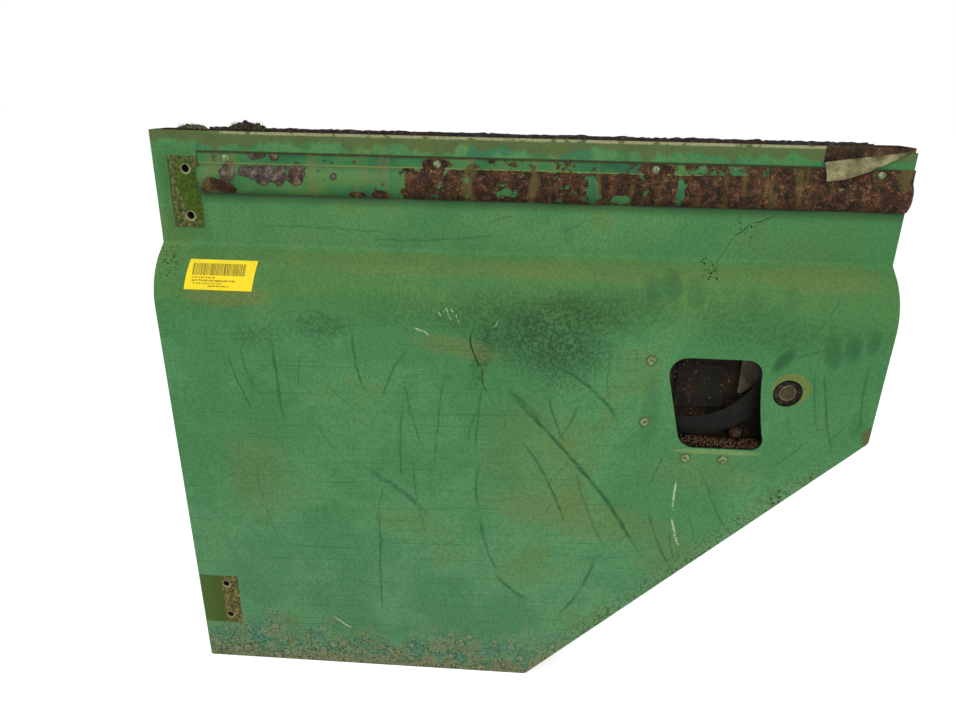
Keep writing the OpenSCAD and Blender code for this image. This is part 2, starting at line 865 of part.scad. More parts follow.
access_top = top - access_drop;
access_mid = access_top - access_h;
access_left = waist_front + access_in;
access_right = waist_rear - access_in;
middle_left = access_left + access_w + panel_strip;
rear_left = access_right - rear_access_w;
middle_right = rear_left - panel_strip;
access_boxes = [
    [[access_left, access_mid], [access_left + access_w, access_top]],
    [[middle_left, access_mid], [middle_right, access_top]],
    [[rear_left, arch_z + access_in], [access_right, access_top]],
    [[access_left, bottom + foot_strip], [access_left + access_w, access_mid - panel_strip]]];
clip_left = waist_front + access_in / 2;
clip_mid = middle_left - panel_strip / 2;
clip_right = rear_left - panel_strip / 2;
clip_top = top - clip_drop;
clip_low = access_mid - panel_strip / 2;
clip_at = [[clip_left, clip_top], [clip_mid, clip_top], [clip_right, clip_top],
    [clip_left, clip_low], [clip_mid, clip_low], [clip_right, clip_top - clip_pitch],
    [clip_left, bottom + clip_up], [clip_mid, bottom + clip_up]];

module inner_panel() {
    color("#5f7f60")
        facing(door_t, door_t + panel_t)
            difference() {
                polygon(outline_points(panel_in, panel_in, panel_in, panel_in, top - panel_in));
                for (b = access_boxes) access_hole(b[0], b[1]);
                for (p = clip_at) translate(p) circle(r = clip_r);
            }
}

outer_skin();
waist_capping();
capping_rivets();
handle_rivets();
hinge_pillar();
lock_pillar();
wheel_arch_rail();
bottom_rail();
waist_rail_outer();
waist_rail_inner();
upper_hinge_plate();
lower_hinge_plate();
outer_wiper_seal();
inner_wiper_seal();
seal_remnants();
handle_pan();
lock_housing();
lock_barrel();
latch_bracket();
latch_case();
latch_claw();
release_lever();
lever_pivot();
lever_spring();
front_glass_channel();
rear_glass_channel();
inner_panel();
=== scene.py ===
import math
import random

import bmesh
import bpy
from mathutils import Matrix, Vector


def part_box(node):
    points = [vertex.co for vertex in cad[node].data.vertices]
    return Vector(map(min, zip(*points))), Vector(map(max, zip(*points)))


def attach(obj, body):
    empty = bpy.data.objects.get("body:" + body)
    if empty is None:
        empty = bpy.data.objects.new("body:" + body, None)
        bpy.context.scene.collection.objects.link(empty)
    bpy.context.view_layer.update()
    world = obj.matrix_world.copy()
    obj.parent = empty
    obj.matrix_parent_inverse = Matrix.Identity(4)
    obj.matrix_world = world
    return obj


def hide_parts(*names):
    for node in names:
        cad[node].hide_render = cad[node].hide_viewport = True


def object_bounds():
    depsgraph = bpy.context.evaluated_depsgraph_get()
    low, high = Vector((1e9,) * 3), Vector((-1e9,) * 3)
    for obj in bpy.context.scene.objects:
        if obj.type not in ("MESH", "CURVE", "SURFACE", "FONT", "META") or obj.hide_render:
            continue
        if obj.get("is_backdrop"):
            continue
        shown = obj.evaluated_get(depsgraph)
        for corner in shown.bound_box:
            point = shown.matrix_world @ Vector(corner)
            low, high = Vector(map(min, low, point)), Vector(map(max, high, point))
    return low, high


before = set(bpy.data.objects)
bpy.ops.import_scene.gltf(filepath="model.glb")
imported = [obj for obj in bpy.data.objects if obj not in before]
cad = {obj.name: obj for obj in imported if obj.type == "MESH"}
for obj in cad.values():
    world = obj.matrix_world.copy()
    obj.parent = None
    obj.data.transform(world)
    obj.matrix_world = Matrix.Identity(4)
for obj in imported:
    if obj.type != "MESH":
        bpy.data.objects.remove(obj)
cad_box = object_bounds()

# Places on the door, in metres: X to the latch edge, Y into the vehicle, Z up.
FRONT, REAR = -0.035, 0.765
WAIST, FOOT = 0.065, -0.6235
CREASE = -0.056
SLOPE_END = -0.06585
ARC_Y, ARC_Z, ARC_R = 0.02926, -0.1194, 0.068
ARC_END = -0.1218
LEAN = math.radians(2)
ARCH_TOP = Vector((REAR, 0, -0.2515))
ARCH_LOW = Vector((0.396, 0, FOOT))
SKIN = 0.0015
LOCK = Vector((0.666, 0, -0.194))
PIN = Vector((0.690, 0, -0.150))
LEVER_BOX = [Vector(corner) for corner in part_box("release_lever")]


def face_y(z):
    """Y of the skin's outer face at height z."""
    if z >= CREASE:
        return 0.0
    if z >= SLOPE_END:
        return (z - CREASE) * math.tan(math.radians(52))
    if z >= ARC_END:
        return ARC_Y - math.sqrt(ARC_R ** 2 - (z - ARC_Z) ** 2)
    return ARC_Y - ARC_R * math.cos(LEAN) + (ARC_END - z) * math.tan(LEAN)


# Modelling helpers

def only(*pieces):
    """Selects these pieces alone."""
    bpy.ops.object.select_all(action="DESELECT")
    for piece in pieces:
        piece.select_set(True)
    bpy.context.view_layer.objects.active = pieces[0]


def start(name, primitive, **settings):
    """A new primitive at its size and place, with its place in its mesh."""
    bpy.ops.object.select_all(action="DESELECT")
    scale = settings.pop("scale", None)
    primitive(**settings)
    piece = bpy.context.active_object
    piece.name = name
    piece.data.name = name
    if scale:
        piece.scale = scale
    bpy.ops.object.transform_apply(location=True, rotation=True, scale=True)
    return piece


def edit(piece):
    """Opens the piece in edit mode with nothing selected."""
    only(piece)
    bpy.ops.object.mode_set(mode="EDIT")
    bpy.ops.mesh.select_mode(type="VERT")
    bpy.ops.mesh.select_all(action="DESELECT")


def leave_edit():
    """Back to object mode."""
    bpy.ops.object.mode_set(mode="OBJECT")


def close_edit():
    """Turns all normals to one side and leaves edit mode."""
    bpy.ops.mesh.select_all(action="SELECT")
    bpy.ops.mesh.normals_make_consistent(inside=False)
    leave_edit()


def face_front(sheet):
    """Turns the normals of an open sheet towards the outer side of the door."""
    if sum(face.normal.y * face.area for face in sheet.data.polygons) > 0:
        sheet.data.flip_normals()


def middle(part):
    """Middle of an edge or a face."""
    if isinstance(part, bmesh.types.BMVert):
        return part.co
    return sum((v.co for v in part.verts), Vector()) / len(part.verts)


def pick(piece, kind, test):
    """Selects the vertices, edges or faces for which test is true."""
    bpy.ops.mesh.select_mode(type=kind)
    bpy.ops.mesh.select_all(action="DESELECT")
    shape = bmesh.from_edit_mesh(piece.data)
    parts = {"VERT": shape.verts, "EDGE": shape.edges, "FACE": shape.faces}[kind]
    for part in parts:
        if test(part):
            part.select_set(True)
    bmesh.update_edit_mesh(piece.data)


def apply(piece, kind, **settings):
    """Adds a modifier and applies it."""
    only(piece)
    bpy.ops.object.modifier_add(type=kind)
    modifier = piece.modifiers[-1]
    for key, value in settings.items():
        setattr(modifier, key, value)
    bpy.ops.object.modifier_apply(modifier=modifier.name)


def cut(piece, cutter):
    """Takes the cutter's shape out of the piece."""
    apply(piece, "BOOLEAN", object=cutter, operation="DIFFERENCE", solver="EXACT")
    only(cutter)
    bpy.ops.object.delete()


def smooth(piece, angle):
    """Smooth shading up to this angle between faces."""
    only(piece)
    bpy.ops.object.shade_smooth_by_angle(angle=math.radians(angle))


def clouds(name, size):
    """A procedural pattern that a Displace modifier reads."""
    texture = bpy.data.textures.new(name, type="CLOUDS")
    texture.noise_scale = size
    return texture


def ripple(piece, name, size, amount, direction="Y", level=0.5):
    """Uneven surface: moves the mesh along one direction by a cloudy pattern."""
    apply(piece, "DISPLACE", texture=clouds(name, size), texture_coords="LOCAL",
          direction=direction, strength=amount, mid_level=level)


def folded_sheet(name, left, right, path, columns):
    """A sheet from left to right whose section follows path, a list of (y, z)."""
    (y0, z0), (y1, z1) = path[:2]
    piece = start(name, bpy.ops.mesh.primitive_plane_add, size=1, rotation=(math.pi / 2, 0, 0),
                  location=((left + right) / 2, y0, (z0 + z1) / 2), scale=(right - left, abs(z0 - z1), 1))
    edit(piece)
    pick(piece, "EDGE", lambda e: all(abs(v.co.z - z1) < 1e-6 for v in e.verts))
    bpy.ops.transform.translate(value=(0, y1 - y0, 0))
    for (ya, za), (yb, zb) in zip(path[1:], path[2:]):
        bpy.ops.mesh.extrude_region_move(TRANSFORM_OT_translate={"value": (0, yb - ya, zb - za)})
    for cuts in columns:
        pick(piece, "EDGE", lambda e: abs(e.verts[0].co.x - e.verts[1].co.x) > 1e-5
             and abs(e.verts[0].co.z - e.verts[1].co.z) < 1e-6
             and abs(e.verts[0].co.y - e.verts[1].co.y) < 1e-6)
        bpy.ops.mesh.subdivide(number_cuts=cuts)
    close_edit()
    return piece


def push_dents(sheet, dents, core):
    """Soft dents, each a centre x and z, a reach and a depth. Core is the radius that moves in full."""
    for x, z, reach, depth in dents:
        pick(sheet, "VERT", lambda v: math.hypot(v.co.x - x, v.co.z - z) < core)
        bpy.ops.transform.translate(value=(0, depth, 0), use_proportional_edit=True,
                                    proportional_edit_falloff="SMOOTH", proportional_size=reach)


def shave(piece, point, normal, test=None, clear=True):
    """Cuts along a plane and drops what lies on its outer side."""
    if test:
        pick(piece, "FACE", test)
    else:
        bpy.ops.mesh.select_all(action="SELECT")
    bpy.ops.mesh.bisect(plane_co=point, plane_no=normal, clear_outer=clear)


def round_corner(piece, corner, first, second, radius, steps=4):
    """Tangent cuts that round a convex corner of the outline between two outward normals."""
    first, second = Vector(first).normalized(), Vector(second).normalized()
    bisector = (first + second).normalized()
    centre = Vector(corner) - bisector * radius / bisector.dot(first)
    for k in range(1, steps):
        normal = first.lerp(second, k / steps).normalized()
        shave(piece, centre + normal * radius, normal)


def prism(name, corners, radii, near, far):
    """A cutter along Y with the outline corners (x, z), each rounded by its radius."""
    piece = start(name, bpy.ops.mesh.primitive_plane_add, size=2, rotation=(math.pi / 2, 0, 0))
    edit(piece)
    signs = [(-1, 1), (1, 1), (1, -1), (-1, -1)]
    for (x, z), (sx, sz) in zip(corners, signs):
        pick(piece, "VERT", lambda v: (v.co - Vector((sx, v.co.y, sz))).length < 1e-4)
        bpy.ops.transform.translate(value=(x - sx, near, z - sz))
    for k, radius in enumerate(radii):
        here = Vector((corners[k][0], near, corners[k][1]))
        a, b = (Vector((corners[j % 4][0], near, corners[j % 4][1])) - here for j in (k - 1, k + 1))
        reach = radius / math.tan(a.angle(b) / 2)
        pick(piece, "VERT", lambda v: (v.co - here).length < 1e-4)
        bpy.ops.mesh.bevel(affect="VERTICES", offset=reach, segments=7)
    bpy.ops.mesh.select_all(action="SELECT")
    bpy.ops.mesh.extrude_region_move(TRANSFORM_OT_translate={"value": (0, far - near, 0)})
    close_edit()
    return piece


def drill(piece, x, z, radius, near=-0.06, far=0.012):
    """A round hole along Y."""
    pin = start("cutter", bpy.ops.mesh.primitive_cylinder_add, vertices=40, radius=radius,
                depth=far - near, rotation=(math.pi / 2, 0, 0), location=(x, (near + far) / 2, z))
    cut(piece, pin)


def place(piece, body, slot, *materials):
    """Gives a finished piece its materials and body. The slot is not used."""
    piece.data.materials.clear()
    for material in materials:
        piece.data.materials.append(material)
    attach(piece, body)
    return piece


# Shapes

def skin_rows():
    """Heights of the rows of the skin's mesh, closer where the section turns."""
    rows = [WAIST - 0.005 * k for k in range(24)]
    rows += [-0.053, CREASE + 0.0006, CREASE - 0.0006, -0.0605, SLOPE_END + 0.0005, SLOPE_END - 0.0007]
    rows += [SLOPE_END - 0.0035 * k for k in range(1, 16)]
    rows += [ARC_END - 0.005 * k for k in range(0, 93)]
    low = rows[-1]
    steps = round((low - FOOT) / 0.003)
    return rows + [low - (low - FOOT) * k / steps for k in range(1, steps + 1)]


RIDGE_START = Vector((0.673, 0, 0.047))
RIDGE_END = Vector((0.764, 0, 0.060))
ARCH_NORMAL = Vector((ARCH_LOW.z - ARCH_TOP.z, 0, ARCH_TOP.x - ARCH_LOW.x)) * -1

# Dents in the skin: centre x and z, reach, depth
DENTS = [(0.30, -0.20, 0.11, 0.0016), (0.47, -0.36, 0.09, 0.0014), (0.12, -0.40, 0.12, 0.0015),
         (0.60, -0.055, 0.05, 0.0012), (0.22, -0.10, 0.07, 0.0012), (0.05, -0.22, 0.06, 0.0010),
         (0.70, -0.09, 0.06, 0.0013), (0.33, -0.52, 0.10, 0.0014), (0.56, -0.12, 0.05, 0.0010),
         (0.42, -0.03, 0.05, 0.0009), (0.13, -0.545, 0.06, 0.0010)]


def door_skin():
    """Folded aluminium skin: rounded shoulder, turned edges, torn corner and its openings."""
    rows = skin_rows()
    skin = folded_sheet("door_skin", FRONT, REAR, [(face_y(z), z) for z in rows], (7, 19))
    edit(skin)
    arch = ARCH_NORMAL.normalized()
    shave(skin, ARCH_TOP, arch)
    round_corner(skin, ARCH_TOP, (1, 0, 0), arch, 0.009)
    round_corner(skin, ARCH_LOW, arch, (0, 0, -1), 0.006)
    round_corner(skin, (FRONT, 0, FOOT), (0, 0, -1), (-1, 0, 0), 0.003, 3)
    push_dents(skin, DENTS, 0.008)
    # the waist's torn corner
    slope = (RIDGE_END - RIDGE_START).normalized()
    up = Vector((-slope.z, 0, slope.x))
    corner = lambda f: middle(f).x > 0.660 and middle(f).z > 0.035
    shave(skin, RIDGE_START, (1, 0, 0), corner, clear=False)
    shave(skin, RIDGE_START, up, corner, clear=False)
    torn = lambda f: middle(f).x > RIDGE_START.x and (middle(f) - RIDGE_START).dot(up) > 0
    pick(skin, "FACE", torn)
    bpy.ops.mesh.delete(type="FACE")
    pick(skin, "VERT", lambda v: v.is_boundary and v.co.x > 0.6735 and v.co.x < 0.764
         and v.co.z > 0.045)
    bpy.ops.transform.vertex_random(offset=0.0012, seed=5)
    # turned edges
    pick(skin, "EDGE", lambda e: e.is_boundary and not (middle(e).z > WAIST - 1e-4)
         and not (middle(e).x > 0.672 and middle(e).x < 0.7649 and middle(e).z > 0.04)
         and not (abs(middle(e).x - 0.673) < 2e-3 and middle(e).z > 0.04))
    bpy.ops.mesh.extrude_region_move(TRANSFORM_OT_translate={"value": (0, 0.0205, 0)})
    bpy.ops.mesh.select_all(action="SELECT")
    bpy.ops.mesh.remove_doubles(threshold=0.00005)
    close_edit()
    face_front(skin)
    apply(skin, "SOLIDIFY", thickness=SKIN, offset=-1, use_even_offset=True)
    quad = [(0.530, -0.1565), (0.633, -0.1565), (0.651, -0.267), (0.5575, -0.267)]
    hole = prism("handle_cutter", quad, (0.020, 0.018, 0.012, 0.020), -0.060, -0.020)
    edit(hole)
    pick(hole, "EDGE", lambda e: abs(e.verts[0].co.y - e.verts[1].co.y) < 1e-6
         and abs(e.verts[0].co.z - e.verts[1].co.z) > 0.04)
    bpy.ops.mesh.subdivide(number_cuts=7)
    bow = lambda z: math.sin(math.pi * (z + 0.262) / 0.10) if -0.262 < z < -0.162 else 0
    for row in sorted({round(v.co.z, 5) for v in bmesh.from_edit_mesh(hole.data).verts}):
        if -0.250 < row < -0.172:
            pick(hole, "VERT", lambda v: abs(v.co.z - row) < 1e-4 and v.co.x > 0.6)
            bpy.ops.transform.translate(value=(-0.0022 * bow(row), 0, 0))
    leave_edit()
    cut(skin, hole)
    drill(skin, LOCK.x, LOCK.z, 0.016, -0.060, -0.015)
    for x, z in HINGE_HOLES:
        drill(skin, x, z, 0.0044)
    smooth(skin, 40)
    return skin


HINGE_HOLES = [(0, 0.0254), (0, -0.0254), (0, -0.5009), (0, -0.5517)]
CAP_LEFT, CAP_RIGHT = 0.016, 0.7660
CAP_TOP, BEAD_TOP, BEAD_LOW, BEAD_OUT = 0.0434, 0.032, -0.0005, 0.0096
CAPPING_DENTS = [(0.13, 0.018, 0.03, 0.0012), (0.24, 0.010, 0.025, 0.0012), (0.36, 0.020, 0.04, 0.0010),
                 (0.47, 0.012, 0.03, 0.0014), (0.60, 0.022, 0.03, 0.0010), (0.70, 0.008, 0.04, 0.0014)]


def waist_capping():
    """Rolled steel capping: a flat flange over a round bead, dented and rusted."""
    half = (BEAD_TOP - BEAD_LOW) / 2
    radius = (half ** 2 + BEAD_OUT ** 2) / (2 * BEAD_OUT)
    centre_y, centre_z = radius - BEAD_OUT, BEAD_TOP - half
    span = math.asin(half / radius)
    path = [(-0.0015, CAP_TOP - 0.0114 * k / 6) for k in range(6)]
    path += [(-0.0017, BEAD_TOP + 0.0006)]
    for k in range(19):
        turn = span * (1 - 2 * k / 18)
        path.append((min(-0.0018, centre_y - radius * math.cos(turn)),
                     centre_z + radius * math.sin(turn)))
    capping = folded_sheet("rolled_capping", CAP_LEFT, CAP_RIGHT, path, (7, 19))
    edit(capping)
    push_dents(capping, CAPPING_DENTS, 0.006)
    # the bead's end is hammered shut
    pick(capping, "VERT", lambda v: v.co.x > CAP_RIGHT - 0.0045 and v.co.z < BEAD_TOP)
    bpy.ops.transform.resize(value=(1, 0.72, 0.93), center_override=(CAP_RIGHT, -0.0016, 0.016))
    close_edit()
    face_front(capping)
    ripple(capping, "rolled_unevenness", 0.05, 0.0007)
    apply(capping, "SOLIDIFY", thickness=0.0012, offset=-1)
    smooth(capping, 50)
    return capping


def torn_flap():
    """The strip torn from the waist, rolled forward over the ridge and hanging down."""
    length = (RIDGE_END - RIDGE_START).length
    path = [(0.0005, -0.001), (0.0005, 0.0003), (0.0001, 0.0014), (-0.0010, 0.0021), (-0.0021, 0.0014),
            (-0.0027, 0.0)]
    path += [(-0.0028 - 0.0016 * math.sin(k / 9 * math.pi), -0.0020 * k) for k in range(1, 10)]
    flap = folded_sheet("torn_flap", 0, length, path, (7, 3))
    edit(flap)
    shave(flap, (0.018, 0, -0.0185), Vector((0.20, 0, -1)))
    shave(flap, (0.042, 0, -0.0135), Vector((0.36, 0, -1)))
    shave(flap, (0.066, 0, -0.0075), Vector((0.22, 0, -1)))
    shave(flap, (0.0012, 0, 0), Vector((-1, 0, -0.09)))
    pick(flap, "VERT", lambda v: v.is_boundary and v.co.z < -0.002)
    bpy.ops.transform.vertex_random(offset=0.0008, seed=8)
    pick(flap, "VERT", lambda v: abs(v.co.x - 0.030) < 0.004 and v.co.z < -0.008)
    bpy.ops.transform.translate(value=(0, -0.0012, 0), use_proportional_edit=True,
                                proportional_edit_falloff="SMOOTH", proportional_size=0.02)
    close_edit()
    angle = math.atan2(RIDGE_END.z - RIDGE_START.z, RIDGE_END.x - RIDGE_START.x)
    flap.data.transform(Matrix.Translation(RIDGE_START) @ Matrix.Rotation(-angle, 4, "Y"))
    ripple(flap, "flap_crumple", 0.012, 0.0010)
    apply(flap, "SOLIDIFY", thickness=0.0011, offset=0)
    apply(flap, "SUBSURF", levels=1, render_levels=1)
    smooth(flap, 60)
    return flap


def perished_strip(name, near, far, seed):
    """A window wiper strip, hardened and wavy along its upper edge."""
    path = [((near + far) / 2, 0.0688 - 0.0022 * k) for k in range(9)]
    strip = folded_sheet(name, 0.0270, 0.7250, path, (7, 24))
    ripple(strip, name + "_wave", 0.06, 0.0022)
    edit(strip)
    pick(strip, "VERT", lambda v: v.co.z > 0.0680)
    bpy.ops.transform.vertex_random(offset=0.0010, seed=seed)
    leave_edit()
    ripple(strip, name + "_edge", 0.03, 0.0018, direction="Z", level=1.0)
    apply(strip, "SOLIDIFY", thickness=0.0022, offset=0)
    smooth(strip, 40)
    return strip


def crumbs(name, left, right, height, seed):
    """A crumbled rest of the old seal: a lumpy clump with fibres."""
    rng = random.Random(seed)
    parts = []
    count = 16
    for k in range(count):
        x = left + (right - left) * (k + 0.5) / count
        rise = height * (0.35 + 0.55 * math.sin(math.pi * (k + 0.5) / count)) * rng.uniform(0.75, 1.1)
        lump = start("lump", bpy.ops.mesh.primitive_ico_sphere_add, subdivisions=3, radius=1,
                     location=(x, rng.uniform(0.0045, 0.0085), WAIST + rise * 0.35),
                     scale=(rng.uniform(0.002, 0.0036), rng.uniform(0.0022, 0.0036), rise * 0.55))
        parts.append(lump)
    only(*parts)
    bpy.ops.object.join()
    clump = bpy.context.active_object
    clump.name = clump.data.name = name
    apply(clump, "REMESH", mode="VOXEL", voxel_size=0.0007)
    ripple(clump, name + "_lumps", 0.004, 0.0022, direction="NORMAL")
    ripple(clump, name + "_grit", 0.0014, 0.0012, direction="NORMAL")
    fibres = []
    for k in range(46):
        x = rng.uniform(left + 0.002, right - 0.002)
        lean = rng.uniform(-0.9, 0.9)
        fibre = start("fibre", bpy.ops.mesh.primitive_cone_add, vertices=4, radius1=0.00035,
                      radius2=0.0001, depth=rng.uniform(0.003, 0.008),
                      location=(x, rng.uniform(0.0035, 0.0105), WAIST + height * rng.uniform(0.35, 0.6)),
                      rotation=(rng.uniform(-0.6, 0.6), lean, 0))
        fibres.append(fibre)
    only(clump, *fibres)
    bpy.ops.object.join()
    top = WAIST + height
    edit(clump)
    pick(clump, "VERT", lambda v: v.co.z > top)
    if any(v.select for v in bmesh.from_edit_mesh(clump.data).verts):
        bpy.ops.transform.resize(value=(1, 1, 0.05), center_override=(0, 0, top))
    leave_edit()
    smooth(clump, 50)
    return clump


def pan_backing():
    """Back of the handle recess, pressed with a raised rounded plateau."""
    back = start("recess_back", bpy.ops.mesh.primitive_grid_add, x_subdivisions=70, y_subdivisions=60,
                 size=2, rotation=(math.pi / 2, 0, 0), location=(0.5965, -0.0004, -0.2070),
                 scale=(0.0670, 0.0600, 1))
    edit(back)
    ring = lambda f: max(abs(middle(f).x - 0.580) / 0.030, abs(middle(f).z + 0.203) / 0.028) < 1
    pick(back, "FACE", ring)
    bpy.ops.mesh.extrude_region_move(TRANSFORM_OT_translate={"value": (0, -0.0022, 0)})
    bpy.ops.transform.resize(value=(0.93, 1, 0.93), center_override=(0.580, 0, -0.203))
    bpy.ops.mesh.inset(thickness=0.006)
    bpy.ops.transform.translate(value=(0, 0.0015, 0))
    close_edit()
    face_front(back)
    apply(back, "SUBSURF", levels=1, render_levels=1)
    ripple(back, "recess_rust", 0.006, 0.0008)
    apply(back, "SOLIDIFY", thickness=0.0006, offset=-1)
    smooth(back, 60)
    return back


def grit():
    """Dirt that has collected on the recess floor."""
    rng = random.Random(11)
    grains = []
    for k in range(5):
        grain = start("grain", bpy.ops.mesh.primitive_ico_sphere_add, subdivisions=1, radius=0.0011)
        edit(grain)
        bpy.ops.mesh.select_all(action="SELECT")
        bpy.ops.transform.vertex_random(offset=0.0005, seed=k + 2)
        leave_edit()
        grains.append(grain)
    copies = []
    for k in range(520):
        x = rng.uniform(0.548, 0.6500)
        depth = rng.uniform(-0.0300, -0.0050)
        heap = 0.0055 * math.exp(-((x - 0.572) / 0.022) ** 2) + 0.0022
        twin = bpy.data.objects.new("grain", grains[k % 5].data.copy())
        bpy.context.scene.collection.objects.link(twin)
        size = rng.uniform(0.45, 1.15)
        spin = Matrix.Rotation(rng.uniform(0, 6), 4, (rng.random(), rng.random(), rng.random()))
        twin.data.transform(Matrix.Translation((x, depth, -0.2677 + heap * rng.uniform(0.2, 1)))
                            @ spin @ Matrix.Diagonal((size, size, size * 0.8, 1)))
        copies.append(twin)
    only(*grains)
    bpy.ops.object.delete()
    only(*copies)
    bpy.ops.object.join()
    heap = bpy.context.active_object
    heap.name = heap.data.name = "recess_grit"
    return heap


def sickle_lever():
    """Curved release lever: a flat sickle that widens as it sweeps up to its pin."""
    near, far = LEVER_BOX[0].y, LEVER_BOX[1].y
    centre = Vector((0.5660, near, -0.1510))
    tip, inner, outer = LEVER_BOX[0].x + 0.0005, 0.0850, 0.1090
    lever = start("sickle_lever", bpy.ops.mesh.primitive_plane_add, size=1, rotation=(math.pi / 2, 0, 0),
                  location=((tip + centre.x) / 2, near, centre.z - (inner + outer) / 2),
                  scale=(centre.x - tip, outer - inner, 1))
    edit(lever)
    pick(lever, "EDGE", lambda e: all(v.co.x > centre.x - 0.0001 for v in e.verts))
    turn = math.radians(3.4)
    for k in range(17):
        bpy.ops.mesh.extrude_region_move()
        bpy.ops.transform.rotate(value=turn, orient_axis="Y", center_override=centre)
        bpy.ops.transform.resize(value=(1.010, 1, 1.010))
    pin = Vector((PIN.x, near, PIN.z))
    end = sum((v.co for v in bmesh.from_edit_mesh(lever.data).verts if v.select), Vector()) / 2
    bpy.ops.mesh.extrude_region_move(TRANSFORM_OT_translate={"value": tuple(pin - end)})
    bpy.ops.transform.resize(value=(0.85, 1, 0.85))
    bpy.ops.mesh.select_all(action="SELECT")
    bpy.ops.mesh.extrude_region_move(TRANSFORM_OT_translate={"value": (0, far - near, 0)})
    close_edit()
    apply(lever, "BEVEL", width=0.0006, segments=2, limit_method="ANGLE", angle_limit=math.radians(50))
    smooth(lever, 40)
    return lever


def lock_face():
    """Face of the lock barrel: a worn ring round a dished disc packed with dirt."""
    y = face_y(LOCK.z) + 0.0011
    face = start("lock_face", bpy.ops.mesh.primitive_circle_add, vertices=64, radius=0.0098, fill_type="NGON",
                 rotation=(math.pi / 2, 0, 0), location=(LOCK.x, y, LOCK.z))
    edit(face)
    bpy.ops.mesh.select_all(action="SELECT")
    bpy.ops.mesh.inset(thickness=0.0007)
    bpy.ops.transform.translate(value=(0, -0.0005, 0))
    bpy.ops.mesh.inset(thickness=0.0013)
    bpy.ops.mesh.inset(thickness=0.0009)
    bpy.ops.transform.translate(value=(0, 0.0014, 0))
    bpy.ops.mesh.inset(thickness=0.0045)
    bpy.ops.transform.translate(value=(0, -0.0004, 0))
    leave_edit()
    face_front(face)
    apply(face, "SOLIDIFY", thickness=0.0006, offset=-1)
    apply(face, "BEVEL", width=0.0002, segments=2, limit_method="ANGLE")
    smooth(face, 30)
    return face


def sticker():
    """An adhesive label bent over the shoulder."""
    top, low = -0.0702, -0.1000
    rows = [top + (low - top) * k / 12 for k in range(13)]
    label = folded_sheet("adhesive_label", 0.0030, 0.0790, [(face_y(z) - 0.0004, z) for z in rows], (7, 3))
    edit(label)
    for row in rows:
        pick(label, "VERT", lambda v: abs(v.co.z - row) < 1e-5)
        bpy.ops.transform.translate(value=(-0.004 * (top - row) / (top - low), 0, 0))
    leave_edit()
    face_front(label)
    apply(label, "SOLIDIFY", thickness=0.0002, offset=1)
    smooth(label, 40)
    return label


# Shader helpers

def paint(red, green, blue):
    """Linear colour of a paint given as 0 to 255 screen values."""
    def line(value):
        value /= 255
        return value / 12.92 if value <= 0.04045 else ((value + 0.055) / 1.055) ** 2.4
    return (line(red), line(green), line(blue), 1)


class Graph:
    """Adds nodes to one node tree and joins them."""

    def __init__(self, tree):
        self.tree = tree

    def node(self, kind, inputs=None, **settings):
        node = self.tree.nodes.new("ShaderNode" + kind)
        for key, value in settings.items():
            setattr(node, key, value)
        for key, value in (inputs or {}).items():
            self.join(value, node.inputs[key])
        return node

    def join(self, value, socket):
        if isinstance(value, bpy.types.NodeSocket):
            self.tree.links.new(value, socket)
        elif value is not None:
            socket.default_value = value

    def math(self, operation, a, b=None, c=None, clamp=False):
        return self.node("Math", {0: a, 1: b, 2: c}, operation=operation, use_clamp=clamp).outputs[0]

    def vector(self, operation, a, b=None, *rest):
        """Vector arithmetic. A third value, or the name of the output, may follow."""
        inputs = {0: a, 1: b}
        result = "Value" if "Value" in rest else "Vector"
        if rest and rest[0] != "Value":
            inputs[2] = rest[0]
        return self.node("VectorMath", inputs, operation=operation).outputs[result]

    def product(self, *factors):
        total = factors[0]
        for factor in factors[1:]:
            total = self.math("MULTIPLY", total, factor)
        return total

    def step(self, value, low, high, start=0.0, end=1.0):
        """Smooth step of value from low to high."""
        return self.node("MapRange", {"Value": value, "From Min": low, "From Max": high,
                                      "To Min": start, "To Max": end},
                         interpolation_type="SMOOTHSTEP").outputs["Result"]

    def band(self, value, low, high, soft):
        """1 between low and high, with soft sides."""
        return self.product(self.step(value, low - soft, low + soft),
                            self.step(value, high - soft, high + soft, 1.0, 0.0))

    def mix(self, share, a, b, blend="MIX"):
        node = self.node("Mix", data_type="RGBA", blend_type=blend)
        self.join(share, node.inputs[0])
        self.join(a, node.inputs[6])
        self.join(b, node.inputs[7])
        return node.outputs[2]

    def ramp(self, value, stops):
        """Colour along value; stops are (position, colour)."""
        node = self.node("ValToRGB", {"Fac": value})
        points = node.color_ramp.elements
        points[0].position, points[0].color = stops[0]
        points[1].position, points[1].color = stops[-1]
        for position, colour in stops[1:-1]:
            points.new(position).color = colour
        return node.outputs["Color"]

    def noise(self, where, scale, detail=4.0, rough=0.55, distortion=0.0):
        return self.node("TexNoise", {"Vector": where, "Scale": scale, "Detail": detail,
                                      "Roughness": rough, "Distortion": distortion}).outputs["Fac"]

    def stretch(self, where, size, turn=(0, 0, 0)):
        """Where, turned and then scaled on each axis."""
        turned = self.node("VectorRotate", {"Vector": where, "Rotation": turn},
                           rotation_type="EULER_XYZ").outputs["Vector"]
        return self.vector("MULTIPLY", turned, size)

    def split(self, where):
        node = self.node("SeparateXYZ", {"Vector": where})
        return node.outputs["X"], node.outputs["Y"], node.outputs["Z"]

    def group(self, tree, inputs):
        node = self.tree.nodes.new("ShaderNodeGroup")
        node.node_tree = tree
        for key, value in inputs.items():
            self.join(value, node.inputs[key])
        return node.outputs


